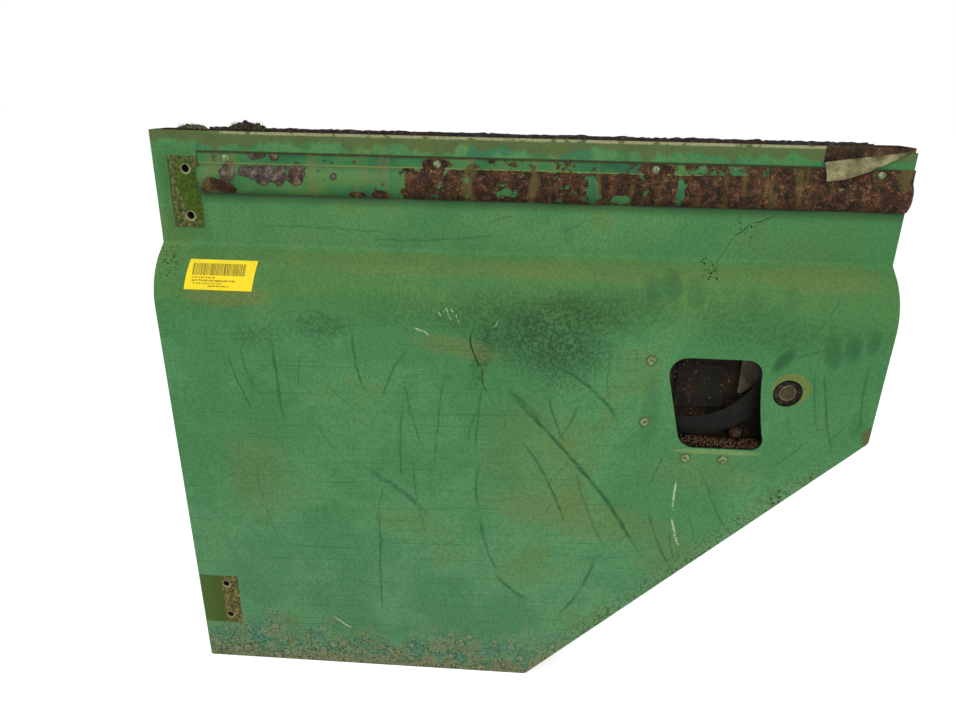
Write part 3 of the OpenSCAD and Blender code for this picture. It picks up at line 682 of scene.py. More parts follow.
def new_group(name, inputs, outputs):
    """An empty node group with named sockets: the group, its graph, its inputs and its outputs."""
    tree = bpy.data.node_groups.new(name, "ShaderNodeTree")
    kinds = {"float": "NodeSocketFloat", "vector": "NodeSocketVector", "colour": "NodeSocketColor"}
    for label, kind, value in inputs:
        tree.interface.new_socket(label, in_out="INPUT", socket_type=kinds[kind]).default_value = value
    for label, kind in outputs:
        tree.interface.new_socket(label, in_out="OUTPUT", socket_type=kinds[kind])
    graph = Graph(tree)
    return tree, graph, tree.nodes.new("NodeGroupInput").outputs, tree.nodes.new("NodeGroupOutput").inputs


def spot_group(name, square):
    """Mask of one stain or chip, an ellipse or a box. The axes are divided by the half sizes."""
    tree, g, given, out = new_group(
        name,
        [("Position", "vector", (0, 0, 0)), ("Centre", "vector", (0, 0, 0)),
         ("Wide axis", "vector", (1, 0, 0)),
         ("High axis", "vector", (0, 0, 1)), ("Softness", "float", 0.5), ("Rag", "float", 0.0)],
        [("Mask", "float")])
    local = g.vector("SUBTRACT", given["Position"], given["Centre"])
    u = g.vector("DOT_PRODUCT", local, given["Wide axis"], "Value")
    v = g.vector("DOT_PRODUCT", local, given["High axis"], "Value")
    if square:
        far = g.math("MAXIMUM", g.math("ABSOLUTE", u), g.math("ABSOLUTE", v))
    else:
        far = g.math("MULTIPLY_ADD", u, u, g.product(v, v))
    far = g.math("ADD", far, given["Rag"])
    inner = g.math("SUBTRACT", 1.0, given["Softness"])
    outer = g.math("ADD", 1.0, given["Softness"])
    g.join(g.step(far, inner, outer, 1.0, 0.0), out["Mask"])
    return tree


def stroke_group():
    """Mask of one curved scratch or wiped stroke: a piece of a thin ring."""
    tree, g, given, out = new_group(
        "stroke_mask",
        [("Position", "vector", (0, 0, 0)), ("Ring centre", "vector", (0, 0, 0)), ("Radius", "float", 1.0),
         ("Middle", "vector", (0, 0, 0)), ("Half length", "float", 0.05), ("Width", "float", 0.002)],
        [("Mask", "float")])
    far = g.vector("DISTANCE", given["Position"], given["Ring centre"], "Value")
    ring = g.math("SUBTRACT", far, given["Radius"])
    line = g.step(g.math("ABSOLUTE", ring), g.product(given["Width"], 0.25), given["Width"], 1.0, 0.0)
    ends = g.vector("DISTANCE", given["Position"], given["Middle"], "Value")
    fade = g.step(ends, g.product(given["Half length"], 0.6), given["Half length"], 1.0, 0.0)
    g.join(g.product(line, fade), out["Mask"])
    return tree


def rust_group():
    """Colour and height of crusted rust."""
    tree, g, given, out = new_group("rust", [("Position", "vector", (0, 0, 0)), ("Scale", "float", 1.0),
                                             ("Warmth", "float", 0.5)],
                                    [("Colour", "colour"), ("Height", "float")])
    where = g.vector("SCALE", given["Position"])
    g.join(given["Scale"], where.node.inputs["Scale"])
    broad = g.noise(where, 80.0, 4, 0.65)
    fine = g.noise(where, 380.0, 3, 0.7)
    crust = g.math("ADD", g.product(broad, 0.5), g.product(fine, 0.5))
    colour = g.ramp(crust, [(0.38, paint(18, 13, 9)), (0.46, paint(38, 26, 17)), (0.52, paint(60, 40, 25)),
                            (0.57, paint(84, 54, 33)), (0.64, paint(126, 98, 66))])
    warm = g.mix(g.step(g.noise(where, 40.0, 2), 0.48, 0.60), colour, paint(76, 40, 26))
    g.join(g.mix(g.product(given["Warmth"], 0.5), colour, warm), out["Colour"])
    g.join(crust, out["Height"])
    return tree


def flaking_group():
    """Where paint has come off: the bare area and the raised rim round it."""
    tree, g, given, out = new_group(
        "flaking", [("Position", "vector", (0, 0, 0)), ("Cover", "float", 0.3), ("Scale", "float", 60.0)],
        [("Bare", "float"), ("Rim", "float")])
    pattern = g.noise(given["Position"], given["Scale"], 5, 0.66, 0.3)
    level = g.math("ADD", pattern, g.math("SUBTRACT", given["Cover"], 0.5))
    bare = g.step(level, 0.50, 0.512)
    g.join(bare, out["Bare"])
    g.join(g.math("SUBTRACT", g.step(level, 0.478, 0.498), bare, clamp=True), out["Rim"])
    return tree


def speck_group():
    """Scattered round specks or blisters, each with a ring."""
    tree, g, given, out = new_group(
        "specks", [("Position", "vector", (0, 0, 0)), ("Scale", "float", 120.0), ("Size", "float", 0.3),
                   ("Share", "float", 0.5)],
        [("Dot", "float"), ("Ring", "float")])
    cells = g.node("TexVoronoi", {"Vector": g.vector("MULTIPLY", given["Position"], (1, 0.15, 1)),
                                  "Scale": given["Scale"], "Randomness": 1.0})
    pick_red = g.node("SeparateColor", {"Color": cells.outputs["Color"]}).outputs
    size = g.product(given["Size"], g.math("ADD", 0.35, pick_red["Green"]))
    wobble = g.product(g.math("SUBTRACT", g.noise(given["Position"], 500.0, 2), 0.5), 0.18)
    far = g.math("ADD", cells.outputs["Distance"], wobble)
    shown = g.math("LESS_THAN", pick_red["Red"], given["Share"])
    edge = g.math("DIVIDE", far, size)
    g.join(g.product(g.step(edge, 0.75, 1.0, 1.0, 0.0), shown), out["Dot"])
    g.join(g.product(g.band(edge, 1.0, 1.3, 0.12), shown), out["Ring"])
    return tree


def streak_group():
    """Fine lines that run along one direction."""
    tree, g, given, out = new_group(
        "streaks", [("Position", "vector", (0, 0, 0)), ("Turn", "float", 0.0), ("Length", "float", 4.0),
                    ("Width", "float", 260.0), ("Share", "float", 0.4)],
        [("Mask", "float")])
    turned = g.node("VectorRotate", {"Vector": given["Position"], "Angle": given["Turn"]},
                    rotation_type="Y_AXIS").outputs["Vector"]
    size = g.node("CombineXYZ", {"X": given["Length"], "Y": 1.0, "Z": given["Width"]}).outputs["Vector"]
    lines = g.noise(g.vector("MULTIPLY", turned, size), 1.0, 3, 0.6)
    limit = g.math("SUBTRACT", 0.72, g.product(given["Share"], 0.3))
    g.join(g.step(lines, limit, g.math("ADD", limit, 0.10)), out["Mask"])
    return tree


def dust_group():
    """Cloudy dust and grime."""
    tree, g, given, out = new_group("dust", [("Position", "vector", (0, 0, 0)), ("Scale", "float", 20.0),
                                             ("Amount", "float", 0.4)], [("Mask", "float")])
    cloud = g.noise(given["Position"], given["Scale"], 4, 0.65)
    g.join(g.product(g.step(cloud, 0.36, 0.70), given["Amount"]), out["Mask"])
    return tree


ROUND_SPOT, SQUARE_SPOT = spot_group("round_spot", False), spot_group("square_spot", True)
STROKE, RUST = stroke_group(), rust_group()
FLAKING, SPECKS, STREAKS, DUST = flaking_group(), speck_group(), streak_group(), dust_group()


class Finish(Graph):
    """A new material with its graph, its shader and the object position."""

    def __init__(self, name, roughness=0.6, metallic=0.0, gloss=0.18):
        self.material = bpy.data.materials.new(name)
        self.material.use_nodes = True
        super().__init__(self.material.node_tree)
        self.shader = self.tree.nodes["Principled BSDF"]
        self.shader.inputs["Roughness"].default_value = roughness
        self.shader.inputs["Metallic"].default_value = metallic
        self.shader.inputs["Specular IOR Level"].default_value = gloss
        self.where = self.node("TexCoord").outputs["Object"]
        self.x, self.y, self.z = self.split(self.where)
        self.flat = self.vector("MULTIPLY", self.where, (1, 0, 1))
        self.rags = {}
        self.wandering = None

    def rag(self, grain):
        """Signed cloudy noise, made once for each grain."""
        if grain not in self.rags:
            self.rags[grain] = self.math("SUBTRACT", self.noise(self.where, grain, 4), 0.5)
        return self.rags[grain]

    def spot(self, x, z, wide, high, turn=0, soft=0.5, ragged=0.2, square=False, grain=60.0):
        """Mask of a stain centred at x, z, in millimetres."""
        cos, sin = math.cos(math.radians(turn)), math.sin(math.radians(turn))
        return self.group(SQUARE_SPOT if square else ROUND_SPOT,
                          {"Position": self.flat, "Centre": (x / 1000, 0, z / 1000),
                           "Wide axis": (cos * 1000 / wide, 0, sin * 1000 / wide),
                           "High axis": (-sin * 1000 / high, 0, cos * 1000 / high),
                           "Softness": soft, "Rag": self.product(self.rag(grain), ragged * 3)})["Mask"]

    def stroke(self, x0, z0, x1, z1, bow=0, width=2.0):
        """Mask of a stroke bowed by bow to its side, in millimetres."""
        if self.wandering is None:
            drift = self.node("CombineXYZ", {"X": self.rag(25.0), "Z": self.rag(60.0)}).outputs["Vector"]
            self.wandering = self.vector("MULTIPLY_ADD", drift, (0.007, 0, 0.007), self.flat)
        a, b = Vector((x0, 0, z0)) / 1000, Vector((x1, 0, z1)) / 1000
        half = (b - a).length / 2
        bow = (bow or 0.5) / 1000
        radius = (half * half + bow * bow) / (2 * abs(bow))
        side = Vector((b.z - a.z, 0, a.x - b.x)).normalized() * (1 if bow > 0 else -1)
        middle_point = (a + b) / 2 + side * abs(bow)
        ring_centre = tuple(middle_point - side * radius)
        return self.group(STROKE, {"Position": self.wandering, "Ring centre": ring_centre, "Radius": radius,
                                   "Middle": tuple(middle_point), "Half length": half,
                                   "Width": width / 1000})["Mask"]

    def most(self, *masks):
        total = masks[0]
        for mask in masks[1:]:
            total = self.math("MAXIMUM", total, mask)
        return total

    def close(self, colour, roughness=None, height=None, depth=0.0005, strength=0.6):
        self.join(colour, self.shader.inputs["Base Color"])
        if roughness is not None:
            self.join(roughness, self.shader.inputs["Roughness"])
        if height is not None:
            bump = self.node("Bump", {"Height": height, "Strength": strength, "Distance": depth})
            self.join(bump.outputs["Normal"], self.shader.inputs["Normal"])
        return self.material


# Finishes

BAND_GREEN, SHOULDER_OLIVE = paint(80, 128, 77), paint(80, 120, 64)
PANEL_GREEN, LOW_GREEN, REAR_GREEN = paint(79, 133, 84), paint(90, 140, 96), paint(50, 106, 58)
DEEP_GREEN, STAIN, SOOT = paint(36, 80, 46), paint(38, 62, 34), paint(26, 34, 22)
OLIVE, CREAM, WHITE_SCRATCH = paint(88, 116, 58), paint(152, 150, 112), paint(176, 192, 164)

# The marks' places were judged over a 50 mm ruler grid and set to the nearest 5 mm.
# Smoky stains: centre x and z, half width, half height, turn, strength
DARK_STAINS = [(405, -135, 65, 40, 10, 0.70), (345, -125, 60, 30, -10, 0.40), (470, -105, 60, 20, 0, 0.35),
               (425, -170, 45, 30, 20, 0.40), (585, -100, 55, 15, 0, 0.20), (250, -115, 50, 15, 0, 0.18),
               (150, -135, 30, 15, 0, 0.40), (80, -150, 30, 15, 10, 0.25), (330, -165, 10, 35, -15, 0.55),
               (700, -130, 60, 20, 0, 0.20), (620, -125, 60, 20, 0, 0.20)]
OLIVE_PATCHES = [(60, -330, 35, 60, 0, 0.25), (390, -285, 60, 70, 20, 0.22), (300, -155, 45, 12, -10, 0.45),
                 (450, -370, 110, 25, -10, 0.35), (560, -420, 35, 25, 20, 0.25), (45, -105, 45, 12, 0, 0.55),
                 (590, -300, 60, 25, 0, 0.20), (690, -70, 60, 12, 0, 0.35), (250, -70, 150, 10, 0, 0.25),
                 (480, -70, 150, 10, 0, 0.25)]
FINGER_MARKS = [(510, -85, 9, 14, 0, 0.40), (530, -80, 10, 14, 0, 0.50), (555, -85, 10, 14, 0, 0.32),
                (655, -155, 7, 15, -35, 0.85), (705, -145, 9, 20, 10, 0.60), (725, -140, 8, 15, 0, 0.60),
                (745, -130, 7, 12, 0, 0.50), (615, -95, 9, 14, 0, 0.25), (655, -90, 8, 14, 0, 0.25),
                (520, -220, 10, 40, 0, 0.30), (750, -230, 10, 20, 0, 0.25)]
# Wiped and scratched strokes: start x and z, end x and z, bow, width, strength
STROKES = [(95, -150, 100, -260, 3, 2.4, 0.75), (40, -165, 65, -250, 4, 2.0, 0.60),
           (55, -160, 70, -220, 3, 1.6, 0.50),
           (185, -135, 195, -215, 3, 2.2, 0.65), (250, -155, 215, -225, 5, 2.0, 0.60),
           (125, -170, 120, -215, 2, 1.8, 0.45), (240, -225, 235, -335, 2, 2.0, 0.60),
           (240, -190, 265, -290, 4, 1.8, 0.50), (290, -180, 275, -320, 3, 2.0, 0.50),
           (330, -195, 325, -290, 2, 2.0, 0.55), (325, -230, 315, -275, 2, 2.0, 0.50),
           (350, -200, 535, -430, -12, 3.6, 0.90), (355, -200, 400, -245, -2, 4.5, 0.60),
           (400, -170, 490, -245, -12, 3.0, 0.75), (375, -100, 445, -85, 8, 2.6, 0.55),
           (470, -150, 480, -240, 5, 1.6, 0.50), (375, -265, 435, -385, -6, 2.6, 0.70),
           (405, -205, 430, -270, 4, 2.6, 0.60), (440, -215, 415, -270, -4, 2.2, 0.50),
           (330, -300, 330, -370, 4, 2.8, 0.60), (330, -370, 355, -460, 4, 2.6, 0.60),
           (350, -460, 400, -500, 5, 4.0, 0.75), (190, -315, 275, -385, -6, 4.5, 0.60),
           (60, -310, 65, -370, 3, 2.0, 0.45), (65, -370, 80, -430, 3, 1.8, 0.40),
           (210, -360, 205, -540, 2, 2.0, 0.65), (215, -335, 205, -400, 3, 1.8, 0.45),
           (250, -300, 265, -410, 3, 1.8, 0.45), (475, -420, 430, -525, -8, 3.0, 0.65),
           (530, -350, 570, -440, 4, 2.4, 0.60), (545, -275, 530, -320, 2, 2.0, 0.55),
           (560, -380, 575, -430, 3, 2.2, 0.50), (440, -300, 490, -420, 5, 2.0, 0.50),
           (700, -160, 730, -270, 4, 2.2, 0.65), (690, -160, 710, -250, 3, 2.0, 0.50),
           (745, -150, 755, -245, 3, 2.0, 0.60), (590, -300, 640, -390, 6, 2.2, 0.50),
           (660, -290, 695, -250, 4, 2.0, 0.50), (640, -150, 700, -140, 4, 2.4, 0.45),
           (135, -255, 175, -310, 4, 2.2, 0.35), (150, -200, 185, -235, 3, 1.8, 0.40),
           (70, -35, 240, -40, -3, 1.6, 0.40), (190, -45, 350, -35, 4, 1.6, 0.50),
           (330, -25, 360, -15, -2, 1.8, 0.45), (410, -30, 440, -15, 2, 1.6, 0.40)]
LIGHT_SCRATCHES = [(250, -135, 270, -145, -4, 1.2, 0.85), (280, -110, 285, -120, 1, 0.7, 0.85),
                   (285, -115, 290, -110, 1, 0.7, 0.85), (290, -110, 295, -125, 1, 0.7, 0.85),
                   (295, -110, 300, -115, 2, 0.7, 0.75), (300, -115, 305, -130, 1, 0.7, 0.75),
                   (340, -130, 345, -120, 1, 1.2, 0.60),
                   (560, -310, 560, -355, 1, 1.6, 0.95), (560, -360, 575, -405, 2, 1.6, 0.90),
                   (140, -545, 165, -565, 1, 1.6, 0.85)]
# Fields of fine wiped lines: turn, length, width, share, from x to x, strength
STREAK_FIELDS = [(84, 8.0, 190.0, 0.26, 0.9, 0.0, 0.55), (58, 9.0, 210.0, 0.28, 0.20, 0.50, 0.60),
                 (108, 8.0, 180.0, 0.24, 0.30, 0.60, 0.50)]
CRACKS = [(315, -135, 330, -180, 4, 1.6, 0.9), (330, -180, 335, -210, 2, 1.4, 0.7),
          (595, -30, 610, -15, 1, 1.0, 0.85), (610, -15, 635, -5, 2, 1.0, 0.85),
          (575, -65, 595, -30, 1, 0.8, 0.6)]
DARK_CHIPS = [(570, -65, 10, 12, 0), (-25, -65, 14, 7, 10), (-20, -80, 12, 9, 0), (605, -20, 14, 8, -40)]

# Zones of the skin, each with its own finish that holds only the marks that reach it, in metres:
# name, left, right, low, high
ZONES = [("waist", FRONT, REAR, CREASE, WAIST), ("front", FRONT, 0.256, -0.486, CREASE),
         ("middle", 0.256, 0.506, -0.486, CREASE), ("rear", 0.506, REAR, -0.486, CREASE),
         ("foot", FRONT, REAR, FOOT, -0.486)]


def reaches(zone, left, right, low, high):
    """Whether a mark between these edges, in millimetres, lies in the zone."""
    zone_left, zone_right, zone_low, zone_high = (edge * 1000 for edge in zone[1:])
    return right > zone_left and left < zone_right and high > zone_low and low < zone_high


def spots_in(zone, marks):
    """The spots of a list that reach the zone."""
    far = lambda mark: 1.6 * max(mark[2], mark[3])
    return [m for m in marks if reaches(zone, m[0] - far(m), m[0] + far(m), m[1] - far(m), m[1] + far(m))]


def strokes_in(zone, marks):
    """The strokes of a list that reach the zone."""
    far = lambda mark: abs(mark[4]) + 12
    return [m for m in marks if reaches(zone, min(m[0], m[2]) - far(m), max(m[0], m[2]) + far(m),
                                        min(m[1], m[3]) - far(m), max(m[1], m[3]) + far(m))]


def skin_ground(g):
    """The faded green itself: bands by height, and clouds of darker and olive paint."""
    at = lambda z: (z - FOOT) / (WAIST - FOOT)
    height = g.node("MapRange", {"Value": g.z, "From Min": FOOT, "From Max": WAIST}).outputs["Result"]
    colour = g.ramp(height, [(0.0, LOW_GREEN), (at(-0.50), LOW_GREEN), (at(-0.25), PANEL_GREEN),
                             (at(-0.145), PANEL_GREEN), (at(-0.100), SHOULDER_OLIVE),
                             (at(-0.060), SHOULDER_OLIVE), (at(-0.0555), BAND_GREEN), (1.0, BAND_GREEN)])
    broad = g.noise(g.where, 8.0, 4, 0.65)
    colour = g.mix(g.step(broad, 0.40, 0.60, 0.45, 0.0), colour, REAR_GREEN)
    colour = g.mix(g.step(broad, 0.52, 0.66, 0.0, 0.55), colour, OLIVE)
    rear = g.product(g.step(g.x, 0.46, 0.74), g.step(g.z, -0.42, -0.12))
    return g.mix(g.product(rear, 0.55), colour, REAR_GREEN)


def skin_marks(g, zone, colour, fine):
    """Stains, wiped fields, strokes, cracks and scratches that reach the zone."""
    speckle = g.step(fine, 0.42, 0.56, 0.45, 1.15)
    for x, z, wide, high, turn, strength in spots_in(zone, DARK_STAINS):
        mask = g.spot(x, z, wide, high, turn, 0.95, 0.55, grain=26.0)
        colour = g.mix(g.product(mask, speckle, strength), colour, STAIN)
    for x, z, wide, high, turn, strength in spots_in(zone, OLIVE_PATCHES):
        mask = g.spot(x, z, wide, high, turn, 0.95, 0.5, grain=26.0)
        colour = g.mix(g.product(mask, strength), colour, paint(110, 112, 58))
    for x, z, wide, high, turn, strength in spots_in(zone, FINGER_MARKS):
        mask = g.spot(x, z, wide, high, turn, 0.90, 0.35, grain=90.0)
        colour = g.mix(g.product(mask, strength), colour, DEEP_GREEN)
    if zone[0] in ("front", "middle", "foot"):
        lines = g.group(STREAKS, {"Position": g.where, "Turn": math.radians(1.6), "Length": 5.0,
                                  "Width": 420.0, "Share": 0.50})["Mask"]
        colour = g.mix(g.product(lines, g.step(g.z, -0.10, -0.16), 0.50), colour, paint(44, 96, 54))
    fields = STREAK_FIELDS if zone[0] in ("middle", "rear") else STREAK_FIELDS[:1]
    for turn, length, width, share, left, right, strength in fields:
        field = g.group(STREAKS, {"Position": g.where, "Turn": math.radians(turn), "Length": length,
                                  "Width": width, "Share": share})["Mask"]
        colour = g.mix(g.product(field, g.step(g.x, left, right), strength), colour, DEEP_GREEN)
    marks = None
    for x0, z0, x1, z1, bow, width, strength in strokes_in(zone, STROKES):
        mask = g.product(g.stroke(x0, z0, x1, z1, bow, width), strength)
        marks = mask if marks is None else g.most(marks, mask)
    if marks is not None:
        colour = g.mix(g.product(marks, g.step(g.rag(90.0), -0.14, 0.06, 0.55, 1.0)), colour, DEEP_GREEN)
    dashes = g.step(g.noise(g.where, 400.0, 2), 0.40, 0.46)
    for x0, z0, x1, z1, bow, width, strength in strokes_in(zone, CRACKS):
        colour = g.mix(g.product(g.stroke(x0, z0, x1, z1, bow, width), strength), colour, SOOT)
    for x0, z0, x1, z1, bow, width, strength in strokes_in(zone, LIGHT_SCRATCHES):
        mask = g.product(g.stroke(x0, z0, x1, z1, bow, width), dashes, strength)
        colour = g.mix(mask, colour, WHITE_SCRATCH)
    pitted = [g.spot(x, z, wide, high, turn, 0.5, 0.5)
              for x, z, wide, high, turn in spots_in(zone, DARK_CHIPS)]
    if pitted:
        pits = g.group(SPECKS, {"Position": g.where, "Scale": 420.0, "Size": 0.42, "Share": 0.60})["Dot"]
        colour = g.mix(g.product(pits, g.most(*pitted)), colour, paint(18, 22, 14))
    return colour


def waist_strip(g, colour):
    """The strip over the capping: teal blooms, brown runs below its pale edge, a rust-brown seam round the
    capping that is partly painted shadow, and painted shadow under the bead.
    """
    wide = g.noise(g.stretch(g.where, (20, 1, 22)), 1.0, 4, 0.6)
    strip = g.step(g.z, 0.040, 0.046)
    colour = g.mix(g.product(strip, g.step(wide, 0.50, 0.62), 0.75), colour, paint(40, 98, 70))
    colour = g.mix(g.product(strip, g.step(wide, 0.46, 0.36), 0.60), colour, paint(50, 84, 44))
    run = g.product(g.noise(g.stretch(g.where, (46, 1, 7)), 1.0, 3, 0.6), 0.034)
    stained = g.step(g.math("SUBTRACT", g.z, g.math("SUBTRACT", 0.0700, run)), -0.0030, 0.0020)
    colour = g.mix(g.product(stained, 0.75), colour, paint(84, 86, 46))
    edge = g.product(g.step(g.z, 0.0615, 0.0630), g.step(g.x, 0.030, 0.050),
                     g.step(g.rag(90.0), -0.12, -0.04))
    colour = g.mix(g.product(edge, 0.85), colour, CREAM)
    # the seam round the capping's top and left edges: rust-brown, partly real rust and partly a painted
    # shadow line
    seam = g.product(g.band(g.z, 0.0430, 0.0450, 0.0007), g.band(g.x, 0.0145, 0.673, 0.0005))
    seam = g.most(seam, g.product(g.band(g.x, 0.0140, 0.0162, 0.0006), g.band(g.z, 0.000, 0.0445, 0.0008)))
    colour = g.mix(g.product(seam, 0.85), colour, paint(50, 36, 20))
    # painted shadow on the skin just under the capping's bead
    shade = g.product(g.step(g.z, -0.0140, -0.0010), g.step(g.z, 0.002, 0.001), g.step(g.x, 0.010, 0.018))
    return g.mix(g.product(shade, 0.65), colour, paint(30, 48, 26))


def hinge_print(g, colour, upper):
    """The mossy or scaly print that a removed hinge left, with its rim."""
    grain = g.noise(g.where, 230.0, 4, 0.75)
    if upper:
        shape = g.spot(-2, 0, 17, 38.5, 0, 0.02, 0.02, True, 90.0)
        inside = g.spot(-2, 0, 15.6, 37.2, 0, 0.04, 0.07, True, 90.0)
        halo = g.spot(-4, -2, 24, 46, 0, 0.20, 0.08, True, 90.0)
        stone = g.ramp(grain, [(0.38, paint(38, 44, 14)), (0.50, paint(72, 76, 32)),
                               (0.62, paint(116, 114, 72))])
        moss = g.ramp(grain, [(0.36, paint(34, 48, 4)), (0.52, paint(58, 80, 10)), (0.66, paint(78, 94, 24))])
        face = g.mix(g.spot(4, 0, 13, 34, 8, 0.45, 0.6, grain=90.0), stone, moss)
        colour = g.mix(g.product(halo, 0.45), colour, paint(52, 92, 40))
        colour = g.mix(shape, colour, face)
        return g.mix(g.product(g.math("SUBTRACT", shape, inside, clamp=True), 0.8), colour, paint(62, 54, 28))
    shape = g.spot(-9, -526.5, 25, 38.5, 0, 0.02, 0.02, True, 90.0)
    scale = g.ramp(grain, [(0.38, paint(46, 44, 16)), (0.50, paint(86, 78, 36)), (0.62, paint(140, 118, 70))])
    smooth_olive = g.ramp(g.math("DIVIDE", g.math("ADD", g.x, 0.030), 0.026),
                          [(0.0, paint(70, 92, 34)), (1.0, paint(62, 76, 22))])
    side = g.step(g.math("ADD", g.x, g.product(grain, 0.008)), -0.004, 0.001)
    return g.mix(shape, colour, g.mix(side, smooth_olive, scale))


def hole_rims(g, colour, zone):
    """Bare metal worn round the hinge bolt holes."""
    for x, z in HINGE_HOLES:
        if zone[3] < z < zone[4]:
            rim = g.spot(x * 1000 + 0.4, z * 1000 - 0.6, 5.7, 5.7, 0, 0.10, 0.10, grain=90.0)
            colour = g.mix(g.product(rim, 0.85), colour, paint(150, 146, 112))
    return colour


def handle_surround(g, colour):
    """Grime round the lock and the rivets, and a paler line along the opening's lower edge."""
    ring = g.math("SUBTRACT", g.spot(669, -189, 21, 20, 0, 0.12, 0.20),
                  g.spot(666, -194, 16.5, 16.5, 0, 0.05, 0.05), clamp=True)
    colour = g.mix(g.product(ring, 0.85), colour, paint(106, 112, 54))
    halo = g.most(*[g.spot(x, z, 7.2, 7.2, 0, 0.25, 0.12) for x, z in
                    ((514.5, -161), (514.5, -236), (565.5, -280.3), (608, -280.3))])
    colour = g.mix(g.product(halo, 0.65), colour, paint(84, 92, 44))
    pale_lower_edge = g.spot(600, -271, 45, 3.2, 0, 0.6, 0.5)
    burn = g.spot(765, -245, 9, 14, 0, 0.6, 0.5)
    colour = g.mix(g.product(pale_lower_edge, 0.6), colour, paint(128, 146, 88))
    return g.mix(g.product(burn, 0.8), colour, paint(84, 72, 40))


def corroded(g, colour, fine, rows):
    """Blisters, blooms and dark specks. Rows is how far the surface is within the corroded edge, 0 to 1."""
    small = g.group(SPECKS, {"Position": g.where, "Scale": 190.0, "Size": 0.42, "Share": 0.50})
    scurf = g.step(fine, 0.47, 0.58)
    colour = g.mix(g.product(rows, 0.30), colour, paint(110, 130, 90))
    colour = g.mix(g.product(rows, scurf, 0.50), colour, paint(50, 70, 46))
    return g.mix(g.product(small["Dot"], rows, 0.90), colour, paint(36, 44, 30))


def corroded_foot(g, colour, fine):
    """The foot's beige edge, teal blooms, blisters and specks."""
    drop = g.math("SUBTRACT", g.z, FOOT)
    cloud = g.noise(g.where, 30.0, 4, 0.7)
    ragged = g.math("ADD", drop, g.product(g.math("SUBTRACT", cloud, 0.5), 0.150))
    frontal = g.step(g.x, 0.42, 0.30, 0.55, 1.0)
    foot = g.product(g.step(ragged, 0.078, 0.030), frontal)
    bloom = g.noise(g.where, 42.0, 3)
    colour = g.mix(g.product(foot, 0.70), colour, paint(104, 130, 98))
    colour = g.mix(g.product(foot, g.step(bloom, 0.50, 0.58), 0.90), colour, paint(58, 122, 104))
    colour = g.mix(g.product(foot, g.step(bloom, 0.47, 0.38), 0.85), colour, paint(122, 118, 88))
    lip = g.step(g.math("ADD", drop, g.product(g.math("SUBTRACT", bloom, 0.5), 0.060)), 0.026, 0.008)
    colour = g.mix(g.product(lip, 0.85), colour, paint(126, 116, 86))
    blister = g.group(SPECKS, {"Position": g.where, "Scale": 75.0, "Size": 0.38, "Share": 0.45})
    colour = g.mix(g.product(blister["Ring"], foot, 0.85), colour, paint(56, 68, 46))
    colour = g.mix(g.product(blister["Dot"], foot, 0.60), colour, paint(150, 144, 118))
    return corroded(g, colour, fine, g.product(g.step(ragged, 0.086, 0.020), frontal))


def door_green(zone):
    """Weathered green paint over aluminium, with the marks of one zone."""
    g = Finish("weathered_green_" + zone[0], 0.62, gloss=0.12)
    fine = g.noise(g.where, 300.0, 3, 0.7)
    colour = skin_ground(g)
    colour = skin_marks(g, zone, colour, fine)
    if zone[0] == "waist":
        colour = waist_strip(g, colour)
        colour = hole_rims(g, hinge_print(g, colour, True), zone)
    if zone[0] == "rear":
        colour = handle_surround(g, colour)
    if zone[0] in ("rear", "foot"):
        arch_far = g.math("ADD", g.product(g.math("SUBTRACT", g.x, ARCH_TOP.x), -0.710),
                          g.product(g.math("SUBTRACT", g.z, ARCH_TOP.z), 0.7042))
        near_arch = g.product(g.step(arch_far, 0.030, 0.002), g.step(g.z, -0.26, -0.32))
        colour = corroded(g, colour, fine, near_arch)
    if zone[0] == "foot":
        colour = corroded_foot(g, colour, fine)
        colour = hole_rims(g, hinge_print(g, colour, False), zone)
    colour = g.mix(g.step(fine, 0.44, 0.58, 0.0, 0.30), colour, paint(42, 82, 44))
    return g.close(colour, g.math("ADD", 0.50, g.product(fine, 0.24)), fine, 0.00015, 0.4)


# Chips down to the grey primer: centre x and z, half width, half height, turn, raggedness
PRIMER_CHIPS = [(50, 24, 8, 8, 20, 0.9), (70, 25, 8, 5, -5, 0.9), (90, 22, 14, 9, -5, 0.9),
                (105, 22, 8, 9, -10, 0.9),
                (125, 23, 9, 10, 0, 0.8), (80, 41, 10, 3, 0, 0.8), (100, 41, 4, 4, 0, 0.6),
                (165, 22, 2.5, 2.5, 0, 0.3)]


# Patches with more or less paint left: centre x and z, half width, half height, turn, wear
WORN_PATCHES = [(40, 9, 17, 8, -10, 0.22), (190, 3, 10, 4, 0, 0.24), (215, 4, 10, 5, 0, 0.26),
                (250, 20, 9, 9, 0, 0.20), (590, 30, 50, 3, 0, 0.34), (275, 37, 14, 6, 0, 0.30),
                (505, 37, 16, 6, 0, 0.30), (40, 37, 10, 5, 0, 0.24), (440, 15, 5, 14, 5, -0.30),
                (530, 15, 4, 16, 0, -0.24), (350, 8, 12, 6, 10, -0.18), (470, 6, 10, 5, 0, -0.16),
                (660, 8, 16, 5, 10, -0.20)]


